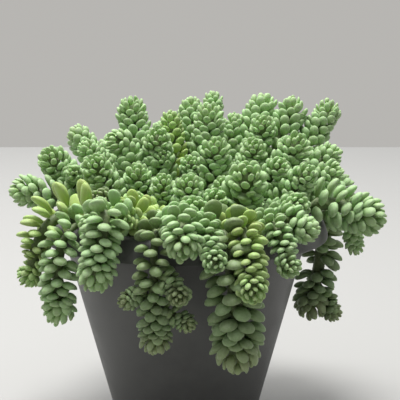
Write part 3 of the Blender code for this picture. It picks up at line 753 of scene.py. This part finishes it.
def leaf_rows(route, face, spread, run, draw, open_growth=0.5, head=1.0, stretch=1.0):
    """Base, direction, up, length, width and age of every leaf that a shoot carries."""
    length = route_length(route)
    run = min(run, LONGEST_RUN * length)
    low = spaced_downs(spread, run, length, open_growth)
    stem_ahead = down_route(route, [spread])[1][0]
    edge = DOME_EDGE + EDGE_TURN * math.acos(min(1.0, float(stem_ahead @ face)))
    share, polar = dome(spread, edge)
    downs = np.concatenate([np.full(len(share), spread * head), low])
    share = np.concatenate([share, np.ones(len(low))])
    polar = np.concatenate([polar, np.full(len(low), DOME_EDGE)])
    below = np.clip(how_low(downs, spread, run), 0, LOWEST)
    count = len(downs)
    grown = head + (1 - head) * np.minimum(below, 1)
    reach = spread * (grown + WIDENING * np.minimum(below, 1)) * draw.normal(1, UNEVEN_REACH, count)
    place, ahead = down_route(route, downs)
    turned = np.clip(1 - (downs - spread) / (FACED * spread), 0, 1)[:, None]
    ahead = units(turned * face + (1 - turned) * ahead)
    side = across(ahead)
    turn = np.arange(count) * GOLDEN_ANGLE + draw.normal(0, UNEVEN_TURN, count)
    radial = swing(turn, side, np.cross(ahead, side))
    lean = MIDDLE_LEAN + polar * (LEAN_BY_ANGLE + LEAN_OUTER * share) + LOW_LEAN * below
    lean += draw.normal(0, UNEVEN_LEAN, count)
    wide = leaf_width(spread) * leaf_size(share) * (1 + LOW_WIDTH * below)
    wide *= draw.normal(1, UNEVEN_SIZE, count) * grown * (1 + STRETCH_WIDTH * (stretch - 1) * below)
    long = np.minimum(wide * LONG_BY_WIDE, LONG_BY_REACH * reach) * draw.normal(1, UNEVEN_SIZE, count)
    long *= 1 + (stretch - 1) * below
    outward = swing(lean, ahead, radial)
    outward[:, 2] += UPWARD_PULL * share ** 2
    outward = units(outward)
    up = units(ahead - outward * np.sum(ahead * outward, axis=1)[:, None])
    tip = place + reach[:, None] * swing(polar, ahead, radial)
    tip += outward * ((stretch - 1) * below * reach)[:, None]
    base = tip - (outward * (1 - CURL_SHORTENS * LEAF_CURL) + up * LEAF_CURL) * long[:, None]
    age = np.clip(BUD_AGE + DOME_AGE * share + LOW_AGE * below, 0, 1)
    return {"base": base, "out": outward, "up": up, "long": long, "wide": wide, "age": age}


trial = leaf_rows(routes[0], facing(*SHOOTS[0][4:6]), *SHOOTS[0][6:8], np.random.default_rng(1))
print(len(trial["long"]), "leaves on the first shoot, longest in mm:", round(1000 * trial["long"].max(), 1))

# %% [markdown]
# ## Leaving out what would cross
#
# In the pot the shoots press against each other, and leaves that would grow into a neighbour are simply not
# there. So a leaf is left out where a point from its middle to its end falls inside the core of another
# shoot, or where it would touch the pot's wall or the potting mix. The cores are sampled once, as balls along
# every stem.

# %% Lines of all shoots and side heads
BALL_SPACING = 0.0012
BALL_SHARE = 0.50
FIRST_BALL = 0.35
names = [row[0] for row in SHOOTS]
lines = [(index, routes[index], facing(row[4], row[5]), row[6], row[7]) for index, row in enumerate(SHOOTS)]
for row in SIDE_HEADS:
    owner, face = names.index(row[0]), facing(row[5], row[6])
    lines.append((owner, side_route(routes[owner], row[1], np.array(row[2:5]), face), face, row[7], row[8]))

balls, ball_sizes, ball_owners = [], [], []
for owner, route, _, spread, run in lines:
    downs = np.arange(FIRST_BALL * spread, route_length(route), BALL_SPACING)
    balls.append(down_route(route, downs)[0])
    ball_sizes.append(np.where(downs < run, BALL_SHARE * spread, STEM_RADIUS))
    ball_owners.append(np.full(len(downs), owner))
balls, ball_sizes, ball_owners = map(np.concatenate, (balls, ball_sizes, ball_owners))
print(len(lines), "leafy lines,", len(balls), "core balls")

# %% Which leaves stay
CORE_TESTS = (0.4, 0.7, 1.0)
WALL_TESTS = ((0.2, 0.2), (0.4, 0.35), (0.6, 0.45), (0.8, 0.4), (1.0, 0.1))
OVER_SOIL = 0.001
INTO_SOIL = 0.02


def leaf_points(rows, share):
    """The point of every leaf at a share of its length."""
    return rows["base"] + rows["out"] * (rows["long"] * share)[:, None]


def stays(rows, owner):
    """A mask of the leaves that are clear of the other shoots, the pot and the potting mix."""
    keep = np.ones(len(rows["long"]), bool)
    strange = ball_owners != owner
    for share in CORE_TESTS:
        gaps = np.linalg.norm(leaf_points(rows, share)[:, None] - balls[strange][None], axis=2)
        keep &= (gaps - ball_sizes[strange][None]).min(1) > 0
    for share, thick in WALL_TESTS:
        points = leaf_points(rows, share)
        keep &= off_wall(points)[0] > WALL / 2 + rows["wide"] * thick
        in_pot = np.linalg.norm(points[:, :2], axis=1) < LIP_RADIUS
        height = points[:, 2] - SOIL_LEVEL
        keep &= ~(in_pot & (height < OVER_SOIL) & (height > -INTO_SOIL))
    return keep


print("kept on the first shoot:", int(stays(trial, 0).sum()), "of", len(trial["long"]))

# %% [markdown]
# ## Building a shoot
#
# All leaves of a shoot become one mesh together with its stem. Writing thousands of leaves point by point in
# Python is slow, so each version of the leaf is placed with one array sum: its rings are stretched, turned
# and moved for every row at once. Three values travel with each point for the finish to read: how old the
# leaf is, a draw of its own, and how far along the leaf the point lies.

# %% Placing leaves
def place_leaves(shape, rows, tints):
    """Every leaf of one version: its points, its faces, and the three values for the finish."""
    template, faces = shape
    across_leaf = np.cross(rows["up"], rows["out"])
    long, wide = rows["long"][:, None, None], rows["wide"][:, None, None]
    curl = LEAF_CURL * template[:, 2] ** 2
    points = (rows["base"][:, None] + across_leaf[:, None] * (template[:, 0, None] * wide)
              + rows["up"][:, None] * (template[:, 1, None] * wide + curl[:, None] * long)
              + rows["out"][:, None] * ((template[:, 2] - CURL_SHORTENS * curl)[:, None] * long))
    count = len(template)
    placed = [[corner + leaf * count for corner in face] for leaf in range(len(points)) for face in faces]
    age = np.repeat(rows["age"], count)
    values = np.stack([age, np.repeat(tints, count), np.tile(template[:, 2], len(points))], axis=1)
    return points.reshape(-1, 3), placed, values


print("faces in a large leaf:", len(LARGE_LEAF[1]))

# %% Stem of a shoot
STEM_SIDES = 10
STEM_STEP = 0.003
# distance down from the tip and radius of the first rings, as shares of the spread
STEM_TOP = ((0.55, 0.14), (0.70, 0.23), (1.00, 0.28))
BARE_SHARE = 0.92
FOOT_SHARE_OF_STEM = 0.9
ABOVE_HOLE = 0.0006
RIPPLE = 0.07
RIPPLE_RATE = 2100
PLAIN_VALUES = (0.5, 0.5, 0.0)


def stem_tube(route, spread, run, foot):
    """A tapering tube from the bottom of the hole up into the head, where it ends in a small dome."""
    length = route_length(route)
    run = min(run, LONGEST_RUN * length)
    top_downs, top_radii = np.array(STEM_TOP).T * spread
    downs = np.concatenate([top_downs, np.arange(spread + STEM_STEP, length, STEM_STEP)])
    places, ahead = down_route(route, downs)
    radii = np.where(downs < run, top_radii[-1], STEM_RADIUS * BARE_SHARE)
    radii[:2] = top_radii[:2]
    radii *= 1 + RIPPLE * np.sin(downs * RIPPLE_RATE)
    if foot is not None:
        bottom = (foot[0], foot[1], SOIL_LEVEL - HOLE_DEPTH + ABOVE_HOLE)
        places = np.concatenate([places, [bottom]])
        ahead = np.concatenate([ahead, [[0, 0, 1.0]]])
        radii = np.append(radii, STEM_RADIUS * FOOT_SHARE_OF_STEM)
    side = across(ahead)
    other = np.cross(ahead, side)
    angles = (2 * math.pi * np.arange(STEM_SIDES) / STEM_SIDES)[None, :, None]
    spokes = np.cos(angles) * side[:, None] + np.sin(angles) * other[:, None]
    points = (places[:, None] + radii[:, None, None] * spokes).reshape(-1, 3)
    faces = [list(range(STEM_SIDES))]
    last = len(points) - STEM_SIDES
    for start in range(0, last, STEM_SIDES):
        for step in range(STEM_SIDES):
            after = (step + 1) % STEM_SIDES
            faces.append([start + STEM_SIDES + step, start + STEM_SIDES + after, start + after, start + step])
    faces.append([last + step for step in reversed(range(STEM_SIDES))])
    return points, faces, np.tile(PLAIN_VALUES, (len(points), 1))


print("stem points:", len(stem_tube(routes[0], SHOOTS[0][6], SHOOTS[0][7], feet[0])[0]))

# %% [markdown]
# ## Finish of the leaves
#
# The leaves are smooth and fleshy, covered with a thin powdery bloom that makes them look pale and a little
# blue. The bloom is drawn thicker towards the end of each leaf and thinner at its base. This is partly the
# plant's bloom and partly painted light: lighter lit ends and painted shade between the leaves. Where the
# bloom is thin the green below shows, and old leaves turn yellow-green. The leaves of the shaded stems, such
# as those that hang in front of the pot, are drawn darker as painted shade, and their youngest leaves are a
# little brown.
# Light passes a little way into the flesh, which softens the shadows between the leaves. The powder also
# catches light that grazes it, so a leaf has a pale rim. A weak sheen on the shader does that.
#
# Two effects are shared. The first is a fine grain that puts out a mask and a height, and it also serves the
# stems, the pot and the potting mix. The second reads the three values of the leaves and puts out their
# colour.

# %% Group for fine grain
PORES_PER_GRAIN = 2.7
PORE_SHARE = 0.45
grain, grain_in, grain_out = start_group(
    "fine_grain", {"Size": 1.0, "Sharpness": 0.5}, {"Mask": 0.0, "Height": 0.0})
where = grain.nodes.new("ShaderNodeTexCoord").outputs["Object"]
scale = calculate(grain, "DIVIDE", 1.0, grain_in.outputs["Size"])
coarse = put(grain, "ShaderNodeTexNoise", Vector=where, Scale=scale, Detail=4.0,
             Roughness=grain_in.outputs["Sharpness"]).outputs[0]
pore_scale = calculate(grain, "MULTIPLY", scale, PORES_PER_GRAIN)
pores = put(grain, "ShaderNodeTexVoronoi", Vector=where, Scale=pore_scale).outputs["Distance"]
feed(grain, grain_out, Mask=remap(grain, coarse, 0.35, 0.65, 0.0, 1.0),
     Height=calculate(grain, "MULTIPLY_ADD", pores, PORE_SHARE, coarse))
print("fine_grain:", len(grain.nodes), "nodes")

# %% Group for leaf colour
POWDER_SIZE = 0.0011
GREEN = (0.4, 0.5, 0.3, 1)
bloom, bloom_in, bloom_out = start_group(
    "leaf_bloom", {"Young": GREEN, "Grown": GREEN, "Old": GREEN, "Bloom": GREEN, "Cover": 0.5},
    {"Colour": GREEN, "Cover": 0.0, "Height": 0.0})
young, grown, old, powder_colour, most_cover = list(bloom_in.outputs)[:5]
leaf_values = bloom.nodes.new("ShaderNodeAttribute")
leaf_values.attribute_name = "leaf"
age, tint, along = put(bloom, "ShaderNodeSeparateXYZ", Vector=leaf_values.outputs["Vector"]).outputs
flesh = mix_colours(bloom, remap(bloom, age, 0.15, 0.55, 0.0, 1.0), young, grown)
flesh = mix_colours(bloom, remap(bloom, age, 0.60, 1.05, 0.0, 1.0), flesh, old)
own_green = put(bloom, "ShaderNodeHueSaturation", Color=flesh, Hue=remap(bloom, tint, 0.0, 1.0, 0.485, 0.512),
                Value=remap(bloom, tint, 0.0, 1.0, 0.82, 1.16), Saturation=1.0).outputs[0]
powder = place_group(bloom, grain, Size=POWDER_SIZE, Sharpness=0.7)
patchy = remap(bloom, powder.outputs["Mask"], 0.0, 1.0, 0.45, 1.0)
# the bloom grows towards the end of each leaf: partly the plant's bloom, partly painted light, with lighter
# lit ends and painted shade at the bases between leaves
bloom_and_painted_light_towards_end = remap(bloom, along, 0.2, 0.8, 0.35, 1.0)
cover = calculate(bloom, "MULTIPLY", calculate(bloom, "MULTIPLY", patchy, bloom_and_painted_light_towards_end), most_cover)
feed(bloom, bloom_out, Colour=mix_colours(bloom, cover, own_green, powder_colour), Cover=cover,
     Height=powder.outputs["Height"])
print("leaf_bloom:", len(bloom.nodes), "nodes")

# %% Leaf materials
# young, grown and old flesh, bloom, and how much of the flesh the bloom covers
LEAF_COLOURS = {
    "glaucous_leaf": ((0.35, 0.50, 0.19), (0.27, 0.43, 0.15), (0.23, 0.38, 0.10), (0.46, 0.61, 0.37), 0.68),
    "yellow_green_leaf": ((0.35, 0.51, 0.18), (0.33, 0.47, 0.11), (0.37, 0.47, 0.06), (0.47, 0.6, 0.33), 0.5),
    # shaded_leaf is a darker copy of the leaf colours, painted shade; its brownish young leaves are the
    # plant's own colour
    "shaded_leaf": ((0.29, 0.33, 0.15), (0.16, 0.24, 0.09), (0.15, 0.22, 0.055), (0.37, 0.48, 0.29), 0.48),
}
# Principled inputs that are the same all over a leaf
LEAF_FLESH = {
    "Subsurface Weight": 0.12,
    "Subsurface Radius": (0.5, 1.0, 0.25),
    "Subsurface Scale": 0.0022,
    "Specular IOR Level": 0.30,
    "Sheen Weight": 0.18,
    "Sheen Roughness": 0.45,
    "Sheen Tint": (0.80, 1.0, 0.72, 1),
}


def leaf_finish(name, young, grown, old, powder_colour, cover):
    made, tree, shader = start_material(name)
    colour = place_group(tree, bloom, Young=(*young, 1), Grown=(*grown, 1), Old=(*old, 1),
                         Bloom=(*powder_colour, 1), Cover=cover)
    feed(tree, shader, Base_Color=colour.outputs["Colour"],
         Roughness=remap(tree, colour.outputs["Cover"], 0.0, 0.8, 0.40, 0.62), **LEAF_FLESH)
    add_relief(tree, shader, colour.outputs["Height"], 0.35, 0.00025)
    return made


LEAF_FINISHES = {name: leaf_finish(name, *row) for name, row in LEAF_COLOURS.items()}
print("finishes:", list(LEAF_FINISHES))

# %% Stem material
stem_finish, stem_tree, stem_shader = start_material("stem_skin")
bark = place_group(stem_tree, grain, Size=0.0016, Sharpness=0.6)
stem_green = mix_colours(stem_tree, bark.outputs["Mask"], (0.10, 0.15, 0.05, 1), (0.17, 0.21, 0.09, 1))
feed(stem_tree, stem_shader, Base_Color=stem_green, Roughness=0.6)
add_relief(stem_tree, stem_shader, bark.outputs["Height"], 0.5, 0.0004)
print("finish:", stem_finish.name)

# %% [markdown]
# ## Dressing every shoot
#
# Each shoot is now built with its side heads and put in place of its solid. The draws come from a generator
# that is seeded with the shoot's number, so the plant is the same on every run. A few shoots have grown fast
# in poor light: their heads are small and their older leaves stand apart, long and yellow-green.

# %% Mesh from pieces
def join_meshes(pieces):
    """Stack the points, faces and values of several meshes."""
    points, faces, values, offset = [], [], [], 0
    for more_points, more_faces, more_values in pieces:
        points.append(more_points)
        values.append(more_values)
        faces += [[corner + offset for corner in face] for face in more_faces]
        offset += len(more_points)
    return np.concatenate(points), faces, np.concatenate(values)


def shoot_object(name, pieces, stem_faces, finish):
    """One shoot as a smooth mesh with two finishes, stem first."""
    points, faces, values = join_meshes(pieces)
    mesh = bpy.data.meshes.new(name)
    mesh.from_pydata(points.tolist(), [], faces)
    mesh.attributes.new("leaf", "FLOAT_VECTOR", "POINT").data.foreach_set("vector", values.ravel())
    mesh.materials.append(finish)
    mesh.materials.append(stem_finish)
    which = np.zeros(len(faces), int)
    which[:stem_faces] = 1
    mesh.polygons.foreach_set("material_index", which)
    mesh.shade_smooth()
    mesh.update()
    return add_object(name, mesh)


print("ready to dress", len(SHOOTS), "shoots")

# %% All shoots
# open growth of the column, size of the head, stretch of the older leaves
PLAIN_HABIT = (0.5, 1.0, 1.0)
HABITS = {
    "stem_hanging_01": (1.0, 0.65, 1.7),
    "stem_hanging_05": (1.0, 0.98, 1.2),
    "stem_front_16": (0.8, 0.90, 1.5),
    "stem_front_08": (0.6, 1.0, 1.6),
    "stem_top_14": (1.0, 0.9, 1.2),
    "stem_right_02": (0.8, 0.95, 1.15),
}
SMALL_WIDTH = 0.0027
FIRST_SEED = 100
leaf_total = triangle_total = 0
for index, row in enumerate(SHOOTS):
    own = [line for line in lines if line[0] == index]
    draw = np.random.default_rng(FIRST_SEED + index)
    stems, leaves = [], []
    for number, (_, route, face, spread, run) in enumerate(own):
        stems.append(stem_tube(route, spread, run, feet[index] if number == 0 else None))
        habit = HABITS.get(row[0], PLAIN_HABIT) if number == 0 else PLAIN_HABIT
        rows = leaf_rows(route, face, spread, run, draw, *habit)
        keep = stays(rows, index)
        rows = {key: value[keep] for key, value in rows.items()}
        tints = draw.random(len(rows["long"]))
        small = rows["wide"] < SMALL_WIDTH
        for shape, chosen in ((SMALL_LEAF, small), (LARGE_LEAF, ~small)):
            if chosen.any():
                picked = {key: value[chosen] for key, value in rows.items()}
                leaves.append(place_leaves(shape, picked, tints[chosen]))
        leaf_total += len(tints)
    shoot_name = row[0].replace("stem_", "shoot_")
    stem_faces = sum(len(stem[1]) for stem in stems)
    shoot = shoot_object(shoot_name, stems + leaves, stem_faces, LEAF_FINISHES[row[8]])
    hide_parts(row[0])
    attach(shoot, "root")
    triangle_total += sum(len(face) - 2 for _, faces, _ in stems + leaves for face in faces)
print("leaves:", leaf_total, "triangles:", triangle_total)

# %% [markdown]
# ## The pot
#
# The pot is moulded plastic: a thin tapered shell whose rim folds over into a lip that flares out as it comes
# down. It is turned from a profile in many steps, so its outline is round, with small rounded corners where a
# mould has them. Its drain holes are cut with short round bars, as in the solid.

# %% Pot profile
def body_radius(height):
    """The outer radius of the pot's body, inside its lip."""
    return FOOT_RADIUS + (BODY_TOP_RADIUS - FOOT_RADIUS) * height / POT_HEIGHT


def corner(before, at, after, radius, steps=4):
    """Points that round the corner at a place between two others."""
    start = at + unit(before - at) * radius
    end = at + unit(after - at) * radius
    share = np.linspace(0, 1, steps)[:, None]
    return (1 - share) ** 2 * start + 2 * share * (1 - share) * at + share ** 2 * end


lip_end = POT_HEIGHT - LIP_HEIGHT
lip_middle = POT_HEIGHT - LIP_HEIGHT / 2
under = POT_HEIGHT - WALL
# radius and height of each corner, and how far it is rounded, from the inside of the floor to the foot
corners = (
    ((body_radius(FLOOR) - WALL, FLOOR), 0.0015),
    ((body_radius(under) - WALL, under), 0.0008),
    ((body_radius(under) - WALL + RIM_ROUND, POT_HEIGHT), 0.0008),
    ((LIP_TOP_RADIUS, POT_HEIGHT), 0.0016),
    ((lip_bulge(), lip_middle), 0.0030),
    ((LIP_RADIUS, lip_end), 0.0007),
    ((LIP_RADIUS - WALL, lip_end), 0.0007),
    ((lip_bulge() - WALL, lip_middle), 0.0025),
    ((LIP_TOP_RADIUS - WALL / 2, under), 0.0008),
    ((body_radius(under) + WALL / 4, under), 0.0008),
    ((FOOT_RADIUS, 0), 0.0010),
)
sharp = np.array([(0, FLOOR)] + [place for place, _ in corners] + [(0, 0)])
profile = [sharp[0]]
for place, (_, radius) in enumerate(corners, start=1):
    profile.extend(corner(*sharp[place - 1:place + 2], radius))
profile.append(sharp[-1])
print("profile points:", len(profile))

# %% Turned pot
POT_SIDES = 128


def turn_outwards(mesh):
    """Let every face of a closed mesh look outwards."""
    bm = bmesh.new()
    bm.from_mesh(mesh)
    bmesh.ops.recalc_face_normals(bm, faces=bm.faces)
    bm.to_mesh(mesh)
    bm.free()


def turned(name, outline, sides):
    """A solid turned about the vertical axis from an outline that starts and ends on the axis."""
    angles = 2 * math.pi * np.arange(sides) / sides
    points = [(0, 0, outline[0][1])]
    for radius, height in outline[1:-1]:
        points += [(radius * math.cos(angle), radius * math.sin(angle), height) for angle in angles]
    last = len(points)
    points.append((0, 0, outline[-1][1]))
    faces = []
    for step in range(sides):
        after = (step + 1) % sides
        faces.append((0, 1 + step, 1 + after))
        for start in range(1, last - sides, sides):
            faces.append((start + step, start + sides + step, start + sides + after, start + after))
        faces.append((last - sides + after, last - sides + step, last))
    mesh = bpy.data.meshes.new(name)
    mesh.from_pydata(points, [], faces)
    turn_outwards(mesh)
    return add_object(name, mesh)


pot = turned("plastic_pot", profile, POT_SIDES)
print("pot faces:", len(pot.data.polygons))

# %% Drain holes
DRILL_SIDES = 24
DRILL_LENGTH = 0.009
DRILL_MIDDLE = 0.0015
SHARP_FROM = math.radians(40)
bm = bmesh.new()
for number in range(DRAIN_COUNT):
    angle = 2 * math.pi * number / DRAIN_COUNT
    middle = Vector((DRAIN_RING * math.cos(angle), DRAIN_RING * math.sin(angle), DRILL_MIDDLE))
    bmesh.ops.create_cone(bm, cap_ends=True, segments=DRILL_SIDES, radius1=DRAIN_RADIUS, radius2=DRAIN_RADIUS,
                          depth=DRILL_LENGTH, matrix=Matrix.Translation(middle))
bar_mesh = bpy.data.meshes.new("drain_bars")
bm.to_mesh(bar_mesh)
bm.free()
bars = add_object("drain_bars", bar_mesh)
drill = pot.modifiers.new("drill", "BOOLEAN")
drill.object = bars
drill.solver = "EXACT"
drilled = bpy.data.meshes.new_from_object(pot.evaluated_get(bpy.context.evaluated_depsgraph_get()))
pot.modifiers.clear()
pot.data = drilled
bpy.data.objects.remove(bars, do_unlink=True)
pot.data.shade_smooth()
pot.data.set_sharp_from_angle(angle=SHARP_FROM)
print("pot faces with its holes:", len(pot.data.polygons))

# %% [markdown]
# The plastic is mid grey and matt. Up close it has the faint mottle of recycled plastic, a very fine mould
# texture, and a lighter grey mixed in fine flecks that grows towards the lip, so the pot is lighter at the
# top.

# %% Pot finish
GREYS = ((0.096, 0.097, 0.093, 1), (0.114, 0.115, 0.110, 1))
LIGHTER_GREY = (0.18, 0.175, 0.16, 1)
LIGHTER_FROM = 0.060
MOST_LIGHTER = 0.22
pot_finish, pot_tree, pot_shader = start_material("grey_plastic")
mottle = place_group(pot_tree, grain, Size=0.009, Sharpness=0.55).outputs["Mask"]
texture = place_group(pot_tree, grain, Size=0.0007, Sharpness=0.6)
place = put(pot_tree, "ShaderNodeSeparateXYZ", Vector=put(pot_tree, "ShaderNodeTexCoord").outputs["Object"])
# a lighter grey mixed in by the fine texture, more of it the higher up, so the pot is lighter towards the lip
lighter_towards_lip = calculate(pot_tree, "MULTIPLY", texture.outputs["Mask"],
                  remap(pot_tree, place.outputs["Z"], LIGHTER_FROM, POT_HEIGHT, 0.0, MOST_LIGHTER))
plastic = mix_colours(pot_tree, mottle, *GREYS)
feed(pot_tree, pot_shader, Base_Color=mix_colours(pot_tree, lighter_towards_lip, plastic, LIGHTER_GREY),
     Roughness=remap(pot_tree, mottle, 0.0, 1.0, 0.46, 0.58))
add_relief(pot_tree, pot_shader, texture.outputs["Height"], 0.25, 0.0002)
pot.data.materials.append(pot_finish)
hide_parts("pot")
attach(pot, "root")
print("pot dressed")

# %% [markdown]
# ## The potting mix
#
# Between the stems the surface is a loose dark mix of bark, peat and a few pale grains. The body of the mix
# is a plain plug, and its top is a grid of rings that a noise pushes up and down. On it lie some hundred and
# fifty crumbs, each a small ball with its points moved by noise.

# %% Body of the mix
MIX_RINGS = 26
MIX_SIDES = 72
MIX_GAP = 0.0004
MIX_EDGE_DROP = 0.0008
# height and fineness of the two noises, and the level at which each is read
LUMPS = ((0.0011, 140, 0.3), (0.0006, 420, 0.9))


def lump(x, y):
    """How far the top of the mix stands above its level."""
    return sum(height * noise.noise(Vector((x, y, level)) * fineness) for height, fineness, level in LUMPS)


mix_radius = body_radius(SOIL_LEVEL) - WALL - MIX_GAP
bottom_radius = body_radius(FLOOR) - WALL - MIX_GAP
bottom = FLOOR + MIX_GAP
outline = [(mix_radius * ring / MIX_RINGS, SOIL_LEVEL) for ring in range(MIX_RINGS)]
outline += [(mix_radius, SOIL_LEVEL - MIX_EDGE_DROP), (bottom_radius, bottom), (0, bottom)]
potting = turned("potting_mix_crumb", outline, MIX_SIDES)
mix_mesh = potting.data
for vert in mix_mesh.vertices:
    if vert.co.z > SOIL_LEVEL - MIX_EDGE_DROP / 2:
        vert.co.z += lump(vert.co.x, vert.co.y)
print("faces of the plug:", len(mix_mesh.polygons))

# %% Crumbs
CRUMBS = 150
CRUMB_SEED = 7
CRUMB_REACH = 0.047
CRUMB_SIZES = (0.0007, 0.0021)
CRUMB_FLATNESS = (0.45, 0.9)
CRUMB_NOISE = 0.35
CRUMB_FINENESS = 900
CRUMB_LIFT = 0.3
crumb_draw = np.random.default_rng(CRUMB_SEED)
mix_bm = bmesh.new()
mix_bm.from_mesh(mix_mesh)
for _ in range(CRUMBS):
    reach = CRUMB_REACH * math.sqrt(crumb_draw.random())
    angle = 2 * math.pi * crumb_draw.random()
    size = crumb_draw.uniform(*CRUMB_SIZES)
    x, y = reach * math.cos(angle), reach * math.sin(angle)
    crumb = bmesh.ops.create_icosphere(mix_bm, subdivisions=1, radius=size)["verts"]
    flat = crumb_draw.uniform(*CRUMB_FLATNESS)
    for vert in crumb:
        place = vert.co * CRUMB_FINENESS + Vector((x, y, size)) * CRUMB_FINENESS
        vert.co *= 1 + CRUMB_NOISE * noise.noise(place)
        vert.co.z *= flat
        vert.co += Vector((x, y, SOIL_LEVEL + lump(x, y) + CRUMB_LIFT * size))
bmesh.ops.recalc_face_normals(mix_bm, faces=mix_bm.faces)
mix_bm.to_mesh(mix_mesh)
mix_bm.free()
print("potting mix faces:", len(mix_mesh.polygons))

# %% Potting mix finish
PEATS = ((0.018, 0.012, 0.008, 1), (0.060, 0.041, 0.027, 1))
PALE_GRAIN = (0.16, 0.13, 0.10, 1)
mix_finish, mix_tree, mix_shader = start_material("dark_potting_mix")
peat = place_group(mix_tree, grain, Size=0.0024, Sharpness=0.75)
where = put(mix_tree, "ShaderNodeTexCoord").outputs["Object"]
flecks = put(mix_tree, "ShaderNodeTexVoronoi", Scale=420.0, Vector=where)
pale = remap(mix_tree, flecks.outputs["Distance"], 0.10, 0.16, 0.6, 0.0)
brown = mix_colours(mix_tree, peat.outputs["Mask"], *PEATS)
feed(mix_tree, mix_shader, Base_Color=mix_colours(mix_tree, pale, brown, PALE_GRAIN),
     Roughness=remap(mix_tree, peat.outputs["Mask"], 0.0, 1.0, 0.98, 0.82))
add_relief(mix_tree, mix_shader, peat.outputs["Height"], 0.9, 0.0010)
mix_mesh.materials.append(mix_finish)
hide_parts("potting_mix")
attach(potting, "root")
print("potting mix dressed")
